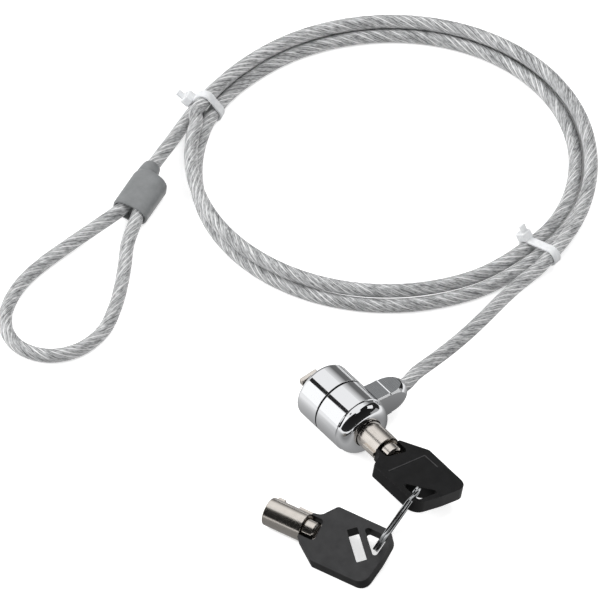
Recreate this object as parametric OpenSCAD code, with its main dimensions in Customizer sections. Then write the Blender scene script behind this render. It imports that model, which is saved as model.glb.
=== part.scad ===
// Laptop cable lock: a round lock head with a turning T-bar, two tubular keys on a split ring,
// and a coated steel cable with an eye at its far end, tied into a coil.
// The X axis is the lock's own axis, from its front face to the key. Millimetres.

/* [Lock body] */
// Outside diameter of the lock body, which lies on the table
body_d = 20; // [19:0.5:22]
// Length of the front collar behind the face pad
collar_l = 10; // [9:0.25:12]
// Length of the rear shell, seam to key face
shell_l = 15.3; // [14:0.1:17]
// Width of the dark seam between collar and shell
seam_w = 0.4; // [0.2:0.1:0.8]
// Depth of the seam and of the step before the rounded rear end
seam_depth = 0.5; // [0.2:0.1:0.6]
// Length of the rounded rear end of the shell
nose_l = 3.8; // [3:0.1:4.5]
// Thickness of the collar's front wall
front_wall = 2.1; // [1.6:0.1:3]
// Thickness of the wall round the keyhole
key_wall = 1; // [0.8:0.1:1.2]
// Amount that the face pad stands out of the collar
pad_proud = 0.3; // [0.2:0.1:0.6]
// Depth of the pad's seat in the collar
pad_seat = 0.6; // [0.4:0.1:1]
// Inner diameter of the face pad
pad_bore_d = 9.8; // [9:0.2:11]
// Width of the face pad's ring
pad_w = 3.2; // [2.4:0.1:3.6]

/* [Cable lug] */
// Width of the lug along the lock's axis
lug_w = 8.2; // [7.8:0.1:8.6]
// Height of the lug at its root
lug_h = 9.2; // [8.6:0.1:9.6]
// Distance from the lock's axis to the lug's tip
lug_reach = 21.5; // [20:0.1:24]
// Length of the lug's rounded tip
lug_tip_l = 7.6; // [6:0.1:8]
// Diameter of the lug's flat end
lug_end_d = 5.3; // [5.2:0.1:6.4]
// Slope of the lug's upper and lower side, in degrees
lug_draft = 4; // [0:0.5:5]

/* [Cylinder] */
// Outer diameter of the sleeve that the mechanism sits in
sleeve_d = 14.6; // [14.2:0.1:15]
// Inner diameter of the sleeve
sleeve_bore_d = 12.4; // [12.2:0.1:12.6]
// Length of the fixed pin block
case_l = 11.4; // [10.8:0.1:11.6]
// Diameter of the turning shaft through the pin block
shaft_d = 3.6; // [3.2:0.1:4]
// Length of the spindle's drilled disc
disc_l = 3.7; // [3:0.1:4]
// Diameter of the post that the key slides over
post_d = 5.4; // [5:0.1:5.8]
// Number of pins round the cylinder
pin_count = 7; // [5:1:8]
// Diameter of each pin
pin_d = 1.4; // [1:0.1:1.5]
// Length of a driver pin
driver_l = 3.2; // [2:0.1:3.5]
// Length of a pin spring as fitted
spring_l = 4.6; // [3:0.1:5]
// Running clearance between turning and fixed pieces, on the radius
run_gap = 0.05; // [0.03:0.01:0.09]
// Clearance between faces that pass each other
face_gap = 0.1; // [0.05:0.05:0.2]

/* [T-bar] */
// Length of the T-bar's crosshead
tbar_l = 6.8; // [6:0.1:7]
// Height of the crosshead
tbar_h = 2.6; // [2.2:0.1:2.8]
// Thickness of the crosshead along the lock's axis
tbar_t = 1.3; // [1:0.1:1.6]
// Gap between the face pad and the crosshead
tbar_gap = 4.8; // [3.5:0.1:5]
// Diameter of the T-bar's neck
tbar_neck_d = 2.5; // [2:0.1:2.6]
// Length of each locator post in front of the pad
post_reach = 2.2; // [1.5:0.1:3]
// Width of a locator post, outwards from the neck
locator_w = 1.4; // [1:0.1:1.5]
// Thickness of a locator post
locator_t = 2.4; // [2:0.1:2.8]

/* [Keys] */
// Outer diameter of a key barrel
barrel_d = 9.5; // [9.2:0.1:9.6]
// Length of a key barrel in front of the head
barrel_l = 14; // [13:0.5:16]
// Wall of the key barrel
barrel_wall = 1.2; // [1:0.05:1.3]
// Radial clearance of the keyhole
keyhole_gap = 0.25; // [0.15:0.05:0.4]
// How far the key stands in the lock
key_depth = 4.6; // [4.2:0.1:5]
// Height of the tabs on the key barrel
tab_h = 0.9; // [0.6:0.05:0.9]
// Width of the tabs on the key barrel
tab_w = 1.5; // [1.2:0.1:2]
// Length of the front tab
tab_l = 2.6; // [1.6:0.1:2.7]
// Length of the key head
head_l = 28.8; // [27:0.2:30]
// Width of the key head
head_w = 21.3; // [20.5:0.1:22.5]
// Thickness of the key head
head_t = 4.4; // [3.6:0.1:4.8]
// Length of the slot through the second key's head
slot_l = 12.8; // [10:0.2:13.4]
// Width of that slot
slot_w = 3.5; // [3:0.1:3.8]

/* [Split ring] */
// Outside diameter of the split ring
ring_d = 25; // [24:0.5:26]
// Radial width of the ring's wire
ring_w = 1.3; // [1:0.1:1.4]
// Thickness of one turn of the ring
ring_turn_t = 0.95; // [0.8:0.05:1]

/* [Cable] */
// Outside diameter of the coated cable
cable_d = 4.5; // [4:0.1:4.6]
// Free gap between neighbouring strands of the coil
coil_gap = 0.45; // [0.45:0.05:0.8]
// Radius of the coil's outermost centreline
coil_r = 66.7; // [64:0.1:70]
// Clearance of the cable in the lug and in the ferrule, on the radius
cable_gap = 0.1; // [0.05:0.05:0.2]
// Outside diameter of the stop pressed on the cable's end
stop_d = 6.4; // [6:0.1:6.6]
// Length of that stop
stop_l = 6.5; // [5:0.1:7]

/* [Ferrule] */
// Width of the ferrule's cover
cover_w = 12.2; // [12.2:0.1:13.4]
// Thickness of the ferrule's cover
cover_t = 7.8; // [7.6:0.1:9]
// Length of the cover's wide part
cover_l = 17.4; // [16.8:0.1:19]
// Length of the cover's neck
neck_l = 4.4; // [3.6:0.1:8]
// Diameter of the cover's neck at its end
neck_d = 6.2; // [6:0.1:7.2]
// Chamfer along the cover's edges
cover_chamfer = 2; // [1.6:0.1:2.2]
// Wall of the metal crimp inside
crimp_wall = 0.6; // [0.4:0.05:0.65]
// Length of the metal crimp
crimp_l = 10; // [8:0.5:11]

/* [Ties] */
// Width of a cable tie's strap
strap_w = 2.7; // [2:0.1:3.5]
// Thickness of a cable tie's strap
strap_t = 0.8; // [0.7:0.1:1.1]
// Clearance between a strap and the strands it holds
strap_gap = 0.15; // [0.1:0.05:0.25]
// Length of a tie's head
tie_head_l = 4; // [3.6:0.1:4.6]
// Thickness of a tie's head
tie_head_t = 2.6; // [2.4:0.1:3.2]

/* [Hidden] */

fine = 96;    // facets on a large round surface
plain = 48;   // facets on a small round surface

// Levels along the lock's axis
body_r = body_d / 2;
table_z = -body_r;
collar_x = pad_proud;
seam_x = collar_x + collar_l;
key_face_x = seam_x + shell_l;
nose_x = key_face_x - nose_l;
bore_floor_x = collar_x + front_wall;
key_wall_x = key_face_x - key_wall;
step_x = nose_x - 1.2;

// Mechanism
block_x = bore_floor_x + 1.6;
block_end_x = block_x + case_l;
disc_x = block_end_x + face_gap;
disc_end_x = disc_x + disc_l;
key_end_x = key_face_x - key_depth;
clip_t = 0.6;
clip_x = block_x - face_gap - clip_t;
shaft_front_x = bore_floor_x + face_gap;
tail_l = 4;
tail_d = 2;
pitch_r = barrel_d / 2 - barrel_wall / 2;
pin_r = pin_d / 2;
driver_x = block_end_x - driver_l;
spring_x = driver_x - spring_l;
keyhole_r = barrel_d / 2 + keyhole_gap;
retainer_r = 0.8;
retainer_x = seam_x + seam_w + 2;

// Lug
lug_x = seam_x + seam_w + lug_w / 2 + 0.8;
lug_root_y = lug_reach - lug_tip_l;
stop_y = lug_root_y + 2.4;

// Keys
key_1_roll = 168;
key_2_at = [29.45, -43.25];
key_2_yaw = 20;
head_x = barrel_l;
key_2_h = barrel_d / 2 + 0.01;
head_diag = sqrt(head_w * head_w + head_t * head_t) / 2;
key_2_roll = asin(key_2_h / head_diag) - atan(head_t / head_w);
front_tab_x = 0.5;
rear_tab_x = 8.4;
tang_l = 8;
tang_w = 6;
tang_t = 1.4;
tongue_l = 4.2;

// Split ring, standing almost upright in the two heads
ring_lean = 67.3;
ring_turn = 204.6;
ring_r = ring_d / 2;
ring_at = [62.65, -17.05];
ring_h = ring_r * sin(ring_lean) + ring_turn_t * cos(ring_lean) + 0.05;

// Coil: a flat spiral inwards, then one layer up and out again over the outer strand
coil_c = [-70.6, 83];
coil_start = 216.9;
coil_a = 926;
tie_1_a = 209.4;
tie_2_a = 12.6;
pitch = cable_d + coil_gap;
flat_a = 554;
climb_a = 166;
groove_a = 120;
outer_a = 27;
flare = 2.1;
flare_a = 19;
oval = 1.05;
oval_dir = 72.1;
tie_lift = 1.3 * (strap_t + strap_gap) + 0.05;
lift_span = 24;
ring_step = 15;

// Ferrule
ferrule_at = [-104, 2.4];
ferrule_yaw = 116;
ferrule_roll = 7.5;
strand_y = pitch / 2 + 0.05;
crimp_x = 2.4;
crimp_end_x = crimp_x + crimp_l;
ferrule_h = (cover_w / 2 - cover_chamfer) * sin(ferrule_roll) + cover_t / 2 * cos(ferrule_roll);

// Heights above the table turn into places in the lock's frame
function on_table(p) = [p[0], p[1], table_z + p[2]];

// Free stretches of the cable, each point with its height above the table
lock_lead_pts = [
    [13.6, 28.6, 9.8], [11.9, 37.1, 9], [10, 45.5, 8.1], [7.7, 54.1, 7.3], [5.1, 62.4, 6.6],
    [2.2, 71.1, 6], [-0.3, 79.3, 5.5], [-1.9, 86.4, 5.2]
];
ferrule_lead_pts = [[-121.5, 32.4, 3.7], [-118.7, 26.6, 4.2]];
eye_pts = [
    [-105.6, -10.5, 4.3], [-105.4, -21.3, 3], [-104.5, -32.1, 2.3], [-102.1, -41.9, 2.25],
    [-98.4, -49.7, 2.25], [-93, -56.4, 2.25], [-86.3, -60.4, 2.25], [-79.3, -61, 2.25],
    [-73.2, -58.3, 2.25], [-68.9, -53.3, 2.25], [-66.7, -45.2, 2.25], [-68.6, -35.3, 2.25],
    [-74.7, -25.8, 2.25], [-81.7, -17.9, 2.25], [-88.3, -11.4, 2.4], [-94.3, -5.8, 2.9]
];

// Vector helpers
function unit(v) = v / norm(v);
function lerp(a, b, t) = a + (b - a) * t;

// Arc of n steps round a centre
function arc(c, r, a0, a1, n) = [for (i = [0:n]) c + r * [cos(lerp(a0, a1, i / n)), sin(lerp(a0, a1, i / n))]];

// One rounded corner of an outline, for a corner that turns either way
function turn_to(a, b) = b - a > 180 ? b - 360 : (b - a < -180 ? b + 360 : b);
function corner(p, q, s, r, n) =
    let (
        a = unit(p - q),
        b = unit(s - q),
        half = acos(max(-1, min(1, a * b))) / 2,
        c = q + unit(a + b) * r / sin(half),
        from = q + a * r / tan(half) - c,
        to = q + b * r / tan(half) - c,
        a0 = atan2(from[1], from[0])
    )
    arc(c, r, a0, turn_to(a0, atan2(to[1], to[0])), n);

// Closed outline through corners, each given as [x, y, radius]
function rounded(cs, n = 5) = [
    for (i = [0:len(cs) - 1])
        let (
            p = cs[(i + len(cs) - 1) % len(cs)],
            q = cs[i],
            s = cs[(i + 1) % len(cs)]
        )
        each corner([p[0], p[1]], [q[0], q[1]], [s[0], s[1]], q[2], n)
];

// Smooth curve through points, with one new point in each gap
function smooth(p) = [
    for (i = [0:len(p) - 2])
        let (
            a = p[max(i - 1, 0)],
            b = p[i],
            c = p[i + 1],
            d = p[min(i + 2, len(p) - 1)]
        )
        each [b, (9 * (b + c) - a - d) / 16],
    p[len(p) - 1]
];

// Direction of a path at point i
function heading(p, i) = unit(p[min(i + 1, len(p) - 1)] - p[max(i - 1, 0)]);

// Ring of points square to a path, kept upright
function ring_at_point(p, i, r, sides) =
    let (
        t = heading(p, i),
        side = unit(cross(t, [0, 0, 1])),
        up = cross(side, t)
    )
    [for (k = [0:sides - 1]) p[i] + r * (side * cos(360 * (k + 0.5) / sides) + up * sin(360 * (k + 0.5) / sides))];

// Tube swept along a path
module tube(p, r, sides) {
    n = len(p);
    points = [for (i = [0:n - 1]) each ring_at_point(p, i, r, sides)];
    walls = [
        for (i = [0:n - 2], k = [0:sides - 1])
            let (
                a = i * sides + k,
                b = i * sides + (k + 1) % sides
            )
            each [[a, b, b + sides], [a, b + sides, a + sides]]
    ];
    ends = [
        for (k = [1:sides - 2])
            each [[0, k + 1, k], [(n - 1) * sides, (n - 1) * sides + k, (n - 1) * sides + k + 1]]
    ];
    polyhedron(points, concat(walls, ends));
}

// Solid of revolution about the lock's axis, from [radius, x] points
module lathe(profile) rotate([0, 90, 0]) rotate_extrude($fn = fine) polygon(profile);

// Round bar along the lock's axis
module bar(x0, x1, r) translate([x0, 0, 0]) rotate([0, 90, 0]) cylinder(h = x1 - x0, r = r, $fn = plain);

// Copies round the lock's axis, one for each pin
module each_pin() for (i = [0:pin_count - 1]) rotate([360 * i / pin_count, 0, 0]) translate([0, 0, pitch_r]) children();

// Round bar along Y at the lug's centre
module lug_bar(y0, y1, r) translate([lug_x, y0, 0]) rotate([-90, 0, 0]) cylinder(h = y1 - y0, r = r, $fn = plain);

// ---- Lock body ----

module front_collar() {
    edge = 0.8;
    r_in = sleeve_d / 2;
    color("#c9cbcc") difference() {
        lathe(concat(
            [[0, collar_x], [body_r - edge, collar_x]],
            arc([body_r - edge, collar_x + edge], edge, -90, 0, 6),
            [[body_r, seam_x - 0.15], [body_r - 0.15, seam_x], [0, seam_x]]
        ));
        bar(bore_floor_x, seam_x + 1, r_in);
        bar(-1, collar_x + pad_seat, pad_bore_d / 2 + pad_w);
        bar(-1, bore_floor_x + 1, tbar_neck_d / 2 + 2 * run_gap);
        locator_posts_solid();
    }
}

module face_pad() {
    color("#2a2a2b") difference() {
        bar(0, collar_x + pad_seat, pad_bore_d / 2 + pad_w);
        bar(-1, collar_x + pad_seat + 1, pad_bore_d / 2);
    }
}

module locator_posts_solid() {
    y0 = tbar_neck_d / 2 + 0.7;
    for (s = [-1, 1])
        translate([-post_reach, s * (y0 + locator_w / 2) - locator_w / 2, -locator_t / 2])
            cube([post_reach + bore_floor_x, locator_w, locator_t]);
}

module locator_posts() {
    color("#b9b3a6") locator_posts_solid();
}

// Shell profile: seam land, straight barrel, step, short band and rounded end
module shell_outline() {
    band_r = body_r - seam_depth * 0.8;
    end_r = keyhole_r + 0.9;
    lathe(concat(
        [[0, seam_x], [body_r - seam_depth, seam_x], [body_r - seam_depth, seam_x + seam_w]],
        [[body_r - 0.1, seam_x + seam_w], [body_r, seam_x + seam_w + 0.1], [body_r, step_x]],
        [[body_r - 0.12, step_x + 0.14], [band_r + 0.04, step_x + 0.34], [band_r, step_x + 0.6]],
        [for (i = [0:9]) [end_r + (band_r - end_r) * cos(10 * i), nose_x + nose_l * sin(10 * i)]],
        [[0, key_face_x]]
    ));
}

function both_sides(p) = concat(p, [for (i = [len(p) - 1:-1:0]) [p[i][0], -p[i][1]]]);

// Block of the lug as wide as the lug, with sloping upper and lower sides, from y0 to y1
module lug_block(y0, y1, half_h) {
    slope = tan(lug_draft);
    side = both_sides([[y0, half_h + slope * (lug_root_y - y0)], [y1, half_h + slope * (lug_root_y - y1)]]);
    translate([lug_x - lug_w / 2, 0, 0]) rotate([90, 0, 90]) linear_extrude(lug_w) polygon(side);
}

// Dome over the lug's tip, from its root section's corners, at that distance from its centre, to its flat end
module lug_dome(corner) {
    dome_l = lug_tip_l / sqrt(1 - pow(lug_end_d / 2 / corner, 2));
    arc = [for (i = [0:8]) asin(lug_tip_l / dome_l) * i / 8];
    half = concat(
        [[0, -lug_root_y], [corner, -lug_root_y]],
        [for (a = arc) [corner * cos(a), dome_l * sin(a)]],
        [[0, lug_tip_l]]
    );
    translate([lug_x, lug_root_y, 0]) rotate([-90, 0, 0]) rotate_extrude($fn = plain) polygon(half);
}

module lug() {
    step = 0.25;
    edge = 0.5;
    soft = 0.35;
    h = lug_h / 2;
    square = sqrt(2) * (lug_w / 2 + h - edge);
    intersection() {
        lug_block(0, lug_root_y, h);
        translate([lug_x, lug_root_y / 2, 0]) rotate([0, 45, 0]) cube([square, lug_root_y, square], center = true);
    }
    intersection() {
        lug_block(0, lug_reach, h - step);
        lug_dome(norm([lug_w / 2, h - step]) - soft);
    }
}

module rear_shell() {
    color("#c9cbcc") difference() {
        union() {
            shell_outline();
            lug();
        }
        bar(seam_x - 1, key_wall_x, sleeve_d / 2);
        bar(key_wall_x - 1, key_face_x + 1, keyhole_r);
        rotate([key_1_roll, 0, 0]) key_tab(key_wall_x - 1, key_face_x + 1, keyhole_gap, tab_w + 0.6);
        lug_bar(sleeve_d / 2 - 1.5, stop_y, stop_d / 2);
        lug_bar(0, lug_reach + 1, cable_d / 2 + cable_gap);
        retaining_pin_solid(body_r + 1);
    }
}

// ---- Mechanism inside the body ----

module cylinder_sleeve() {
    color("#b7ad97") difference() {
        bar(bore_floor_x, key_wall_x, sleeve_d / 2);
        bar(block_x, key_wall_x + 1, sleeve_bore_d / 2);
        bar(bore_floor_x - 1, block_x + 1, sleeve_bore_d / 2 - 1);
        retaining_pin_solid(body_r);
    }
}

module pin_block() {
    color("#c8a95a") difference() {
        bar(block_x, block_end_x, sleeve_bore_d / 2);
        bar(block_x - 1, block_end_x + 1, shaft_d / 2 + run_gap);
        each_pin() bar(spring_x, block_end_x + 1, pin_r);
        retaining_pin_solid(body_r);
    }
}

module driver_pins() {
    color("#d8d8d4") each_pin() bar(driver_x, block_end_x, pin_r);
}

module pin_springs() {
    color("#9a9a98") each_pin() difference() {
        bar(spring_x, driver_x, pin_r - 0.05);
        bar(spring_x - 1, driver_x + 1, pin_r - 0.3);
    }
}

// Cross pin from below, through shell, sleeve and pin block
module retaining_pin_solid(reach) {
    translate([retainer_x, 0, -reach]) cylinder(h = reach - sleeve_bore_d / 2 + 0.8, r = retainer_r, $fn = plain);
}

module retaining_pin() {
    color("#8e8f91") retaining_pin_solid(body_r - 0.4);
}

module spindle() {
    disc_r = sleeve_bore_d / 2 - run_gap;
    color("#cdb777") difference() {
        union() {
            bar(shaft_front_x, disc_x + 1, shaft_d / 2);
            bar(disc_x, disc_end_x, disc_r);
            bar(disc_end_x, key_wall_x - 0.3, post_d / 2);
        }
        each_pin() bar(disc_x - 1, disc_end_x + 1, pin_r);
        bar(shaft_front_x - 1, shaft_front_x + tail_l, tail_d / 2);
        difference() {
            bar(clip_x, clip_x + clip_t, shaft_d);
            bar(clip_x - 1, clip_x + clip_t + 1, shaft_d / 2 - 0.35);
        }
    }
}

module key_pins() {
    color("#d8d8d4") each_pin() bar(disc_x, key_end_x, pin_r);
}

module spindle_clip() {
    color("#7d7f82") difference() {
        bar(clip_x, clip_x + clip_t, shaft_d / 2 + 1.3);
        bar(clip_x - 1, clip_x + clip_t + 1, shaft_d / 2 - 0.35);
        translate([clip_x - 1, -0.9, 0]) cube([clip_t + 2, 1.8, shaft_d + 2]);
    }
}

module t_bar() {
    play = 6;
    head_x0 = -tbar_gap - tbar_t;
    color("#cfc4b0") union() {
        rotate([play, 0, 0]) intersection() {
            translate([head_x0, -tbar_l / 2, -tbar_h / 2]) cube([tbar_t, tbar_l, tbar_h]);
            bar(head_x0 - 1, 0, tbar_l / 2);
        }
        bar(-tbar_gap - 0.1, shaft_front_x, tbar_neck_d / 2);
        bar(shaft_front_x, shaft_front_x + tail_l, tail_d / 2);
    }
}

// ---- Keys: each is drawn with its barrel's open end at the origin, along X ----

// Tab on a key barrel's +Y side, grown by a clearance
module key_tab(x0, x1, grow, w) {
    translate([x0, 0, -w / 2]) cube([x1 - x0, barrel_d / 2 + tab_h + grow, w]);
}

module key_barrel() {
    r = barrel_d / 2;
    difference() {
        union() {
            lathe([[0, 0], [r - 0.3, 0], [r, 0.3], [r, barrel_l], [0, barrel_l]]);
            key_tab(front_tab_x, front_tab_x + tab_l, 0, tab_w);
            key_tab(rear_tab_x, barrel_l, 0, tab_w);
            lathe([
                [0, barrel_l - 0.1], [3.5, barrel_l - 0.1], [3.4, barrel_l + tongue_l - 1],
                [2.6, barrel_l + tongue_l], [0, barrel_l + tongue_l]
            ]);
            translate([barrel_l + tongue_l - 0.5, -tang_w / 2, -tang_t / 2]) cube([tang_l + 0.5, tang_w, tang_t]);
        }
        bar(-1, barrel_l - barrel_wall, r - barrel_wall);
    }
}

// Outline of the head, its corners as [x, y, radius]
function head_corners() =
    let (
        w = head_w / 2,
        x0 = head_x,
        x1 = head_x + head_l
    )
    [
        [x0, 4.9, 0.3], [x0 + 2.8, 5.4, 3], [x0 + 6.1, w, 1.6], [x1 - 0.8, w, 4.2],
        [x1, 0, 20], [x1 - 0.2, -w, 3.6], [x0 + 8.3, -w, 1.4], [x0, -5, 0.4]
    ];

function ring_hole_corners() =
    let (
        y = head_w / 2 - 2.4,
        x = head_x + head_l - 2.2
    )
    [[x - 9.6, y, 0.9], [x, y, 0.9], [x, y - 9.2, 0.9]];

module key_head(with_slot) {
    difference() {
        translate([0, 0, -head_t / 2]) linear_extrude(head_t) polygon(rounded(head_corners()));
        translate([0, 0, -head_t]) linear_extrude(2 * head_t) polygon(rounded(ring_hole_corners()));
        translate([0, 0, -head_t]) linear_extrude(2 * head_t)
            polygon(rounded([
                [head_x - 2, 4.1, 0.2], [head_x - 2, -4.1, 0.2], [head_x + 4.6, -4.1, 0.8],
                [head_x + 5.6, -3.2, 0.8], [head_x + 4.7, 4.1, 1.2]
            ]));
        translate([barrel_l + tongue_l - 0.5, -tang_w / 2, -tang_t / 2]) cube([tang_l + 0.5, tang_w, tang_t]);
        if (with_slot)
            translate([head_x + head_l - 9.9, 1.1, 0]) rotate([0, 0, -44]) cube([slot_l, slot_w, 3 * head_t], center = true);
    }
}

module key_1_place() translate([key_end_x, 0, 0]) rotate([key_1_roll, 0, 0]) children();
module key_2_place() translate(on_table([key_2_at[0], key_2_at[1], key_2_h])) rotate([0, 0, key_2_yaw]) rotate([key_2_roll, 0, 0]) children();

module key_1_barrel() {
    color("#c3bcb0") key_1_place() key_barrel();
}

module key_1_head() {
    color("#262627") key_1_place() key_head(false);
}

module key_2_barrel() {
    color("#c3bcb0") key_2_place() key_barrel();
}

module key_2_head() {
    color("#3a3a3b") key_2_place() key_head(true);
}

// Two flat turns side by side, the upper one open where the wire ends
module split_ring() {
    open_l = 5;
    color("#b4b6b8") translate(on_table([ring_at[0], ring_at[1], ring_h])) rotate([0, ring_lean, ring_turn]) difference() {
        translate([0, 0, -ring_turn_t]) cylinder(h = 2 * ring_turn_t, r = ring_r, $fn = fine);
        translate([0, 0, -2 * ring_turn_t]) cylinder(h = 4 * ring_turn_t, r = ring_r - ring_w, $fn = fine);
        rotate([0, 0, 190]) translate([ring_r - 2 * ring_w, -open_l / 2, 0]) cube([4 * ring_w, open_l, 2 * ring_turn_t]);
    }
}

// ---- Cable ----

// Spiral radius of the floor layer after a turn of f degrees; its very start comes in from outside
function spiral(f) = coil_r - pitch * f / 360 + flare * pow(max(0, 1 - f / flare_a), 2);

// Radius and height of the cable's centre after f degrees: in along the table, up over the strand
// one turn earlier, and out again on top of the outer strand
function coil_section(f) =
    f <= flat_a ? [spiral(f), 0]
    : f <= flat_a + climb_a ? let (a = groove_a * (f - flat_a) / climb_a)
        [spiral(f - 360) - pitch * cos(a), pitch * sin(a)]
    : let (b = lerp(groove_a, outer_a, pow((f - 720) / (coil_a - 720), 5)))
        [spiral(f - 720) + pitch * cos(b), pitch * sin(b)];

// The strands rise a little where a strap passes under them
function bump(a, tie) = let (off = abs((a - tie + 900) % 360 - 180)) off >= lift_span ? 0 : pow(cos(90 * off / lift_span), 2);
function lift(a) = tie_lift * max(bump(a, tie_1_a), bump(a, tie_2_a));

function coil_point(f) =
    let (
        a = coil_start - f,
        s = coil_section(f),
        r = s[0] + oval * cos(2 * (a - oval_dir))
    )
    on_table([coil_c[0] + r * cos(a), coil_c[1] + r * sin(a), cable_d / 2 + s[1] + lift(a)]);

coil_steps = [for (f = [0:ring_step:coil_a]) f, coil_a];
coil_path = [for (f = coil_steps) coil_point(f)];

// Point on the swept tube's own straight pieces
function on_coil(f) = [for (c = [0:2]) lookup(f, [for (i = [0:len(coil_steps) - 1]) [coil_steps[i], coil_path[i][c]]])];

// Both ends of the coil go on straight for one diameter
coil_first = coil_path[0];
coil_last = coil_path[len(coil_path) - 1];
coil_out_dir = unit(coil_last - coil_point(coil_a - 3));
coil_in_dir = unit(coil_first - coil_point(3));
coil_full = concat([coil_first + coil_in_dir * cable_d], coil_path, [coil_last + coil_out_dir * cable_d]);

// Least free gap between strands that are at least half a turn apart
function gap_to_itself(step) = min([
    for (f = [0:step:coil_a - 180], g = [f + 180:step:coil_a]) norm(coil_point(f) - coil_point(g))
]) - cable_d;

// A point inside the ferrule, given along and across it
function in_ferrule(x, y) =
    let (
        across = y * [-sin(ferrule_yaw) * cos(ferrule_roll), cos(ferrule_yaw) * cos(ferrule_roll), sin(ferrule_roll)],
        along = x * [cos(ferrule_yaw), sin(ferrule_yaw), 0]
    )
    on_table([ferrule_at[0], ferrule_at[1], ferrule_h]) + across + along;

lock_lead_path = concat(
    [for (y = [stop_y - stop_l, stop_y, lug_reach + 1]) [lug_x, y, 0]],
    [for (p = lock_lead_pts) on_table(p)],
    [coil_last + coil_out_dir * cable_d]
);
ferrule_lead_path = concat(
    [coil_first + coil_in_dir * cable_d],
    [for (p = ferrule_lead_pts) on_table(p)],
    [in_ferrule(cover_l + neck_l, strand_y), in_ferrule(crimp_end_x, strand_y)]
);
eye_path = concat(
    [in_ferrule(crimp_end_x, strand_y), in_ferrule(crimp_x, strand_y), in_ferrule(0, strand_y + 0.4)],
    [for (p = eye_pts) on_table(p)],
    [in_ferrule(0, -strand_y - 0.4), in_ferrule(crimp_x, -strand_y), in_ferrule(crimp_end_x, -strand_y)]
);

module cable_stop() {
    color("#9b9da0") difference() {
        lug_bar(stop_y - stop_l, stop_y, stop_d / 2);
        lug_bar(0, lug_reach, cable_d / 2);
    }
}

module lock_lead() {
    color("#b9bcbf") tube(smooth(lock_lead_path), cable_d / 2, 8);
}

module cable_coil() {
    color("#b9bcbf") tube(coil_full, cable_d / 2, 6);
    echo(least_gap_mm = gap_to_itself(6));
}

module ferrule_lead() {
    color("#b9bcbf") tube(smooth(ferrule_lead_path), cable_d / 2, 8);
}

module eye_loop() {
    color("#b9bcbf") tube(smooth(eye_path), cable_d / 2, 8);
}

// ---- Ferrule ----

module ferrule_place() translate(on_table([ferrule_at[0], ferrule_at[1], ferrule_h])) rotate([0, 0, ferrule_yaw]) rotate([ferrule_roll, 0, 0]) children();

// Section across the ferrule: a rectangle with chamfered edges, t thick along it
module cover_section(x, w, h, c, t) {
    translate([x, 0, 0]) rotate([90, 0, 90]) linear_extrude(t)
        polygon([
            [w / 2, h / 2 - c], [w / 2 - c, h / 2], [c - w / 2, h / 2], [-w / 2, h / 2 - c],
            [-w / 2, c - h / 2], [c - w / 2, -h / 2], [w / 2 - c, -h / 2], [w / 2, c - h / 2]
        ]);
}

// Slot section for two strands side by side
module strands_slot(x0, x1, grow) {
    for (s = [-1, 1]) translate([0, s * strand_y, 0]) bar(x0, x1, cable_d / 2 + grow);
    translate([x0, -strand_y, -cable_d / 2 - grow]) cube([x1 - x0, 2 * strand_y, cable_d + 2 * grow]);
}

module ferrule_cover() {
    color("#8a8b8b") ferrule_place() difference() {
        union() {
            hull() {
                cover_section(0, cover_w - 0.6, cover_t - 0.6, cover_chamfer, 0.1);
                cover_section(0.4, cover_w, cover_t, cover_chamfer, cover_l - 3.1);
                cover_section(cover_l - 1, cover_w - 2.4, cover_t - 0.6, cover_chamfer, 0.1);
                cover_section(cover_l - 0.3, cover_w - 4.4, cover_t - 1.6, cover_chamfer, 0.1);
            }
            translate([0, strand_y, 0]) hull() {
                bar(cover_l - 1.5, cover_l + 0.5, neck_d / 2 + 0.3);
                bar(cover_l + neck_l - 1, cover_l + neck_l - 0.9, neck_d / 2);
                bar(cover_l + neck_l - 0.1, cover_l + neck_l, neck_d / 2 - 0.4);
            }
        }
        strands_slot(-1, crimp_end_x, crimp_wall);
        translate([0, strand_y, 0]) bar(crimp_end_x - 1, cover_l + neck_l + 1, cable_d / 2 + cable_gap);
    }
}

module ferrule_crimp() {
    color("#a7a9ab") ferrule_place() difference() {
        strands_slot(crimp_x, crimp_end_x, crimp_wall);
        for (s = [-1, 1]) translate([0, s * strand_y, 0]) bar(crimp_x - 1, crimp_end_x + 1, cable_d / 2);
    }
}

// ---- Ties ----

// Strands under a tie, as [outwards, up] from the outer strand on the table
function strands_at(a) =
    let (o = on_coil(coil_start - a))
    [
        for (k = [0:2])
            let (p = on_coil(coil_start - a + 360 * k) - o)
            [p * [cos(a), sin(a), 0], p[2]]
    ];

// Place a child on the outer strand at angle a: X goes outwards, Y along the strand, Z up
module at_tie(a) translate(on_coil(coil_start - a)) rotate([0, 0, a]) children();

module strap_core(strands, r, w) {
    hull() for (s = strands) translate([s[0], w / 2, s[1]]) rotate([90, 0, 0]) cylinder(h = w, r = r, $fn = 24);
}

// Strap round the strands, and its head at angle b round the outer strand
module tie(strands, hub, b) {
    r_in = cable_d / 2 + strap_gap;
    difference() {
        union() {
            strap_core(strands, r_in + strap_t, strap_w);
            translate([hub[0], 0, hub[1]]) rotate([0, -b, 0])
                translate([r_in + strap_t + tie_head_t / 2 - 0.3, 0, 0]) cube([tie_head_t + 0.6, tie_head_l, tie_head_l], center = true);
        }
        strap_core(strands, r_in, 3 * tie_head_l);
    }
}

module tie_1() {
    s = strands_at(tie_1_a);
    color("#dfe3e6") at_tie(tie_1_a) tie(s, s[0], 35);
}

module tie_2() {
    s = strands_at(tie_2_a);
    color("#dfe3e6") at_tie(tie_2_a) tie(s, (s[1] + s[2]) / 2, 118);
}

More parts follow.
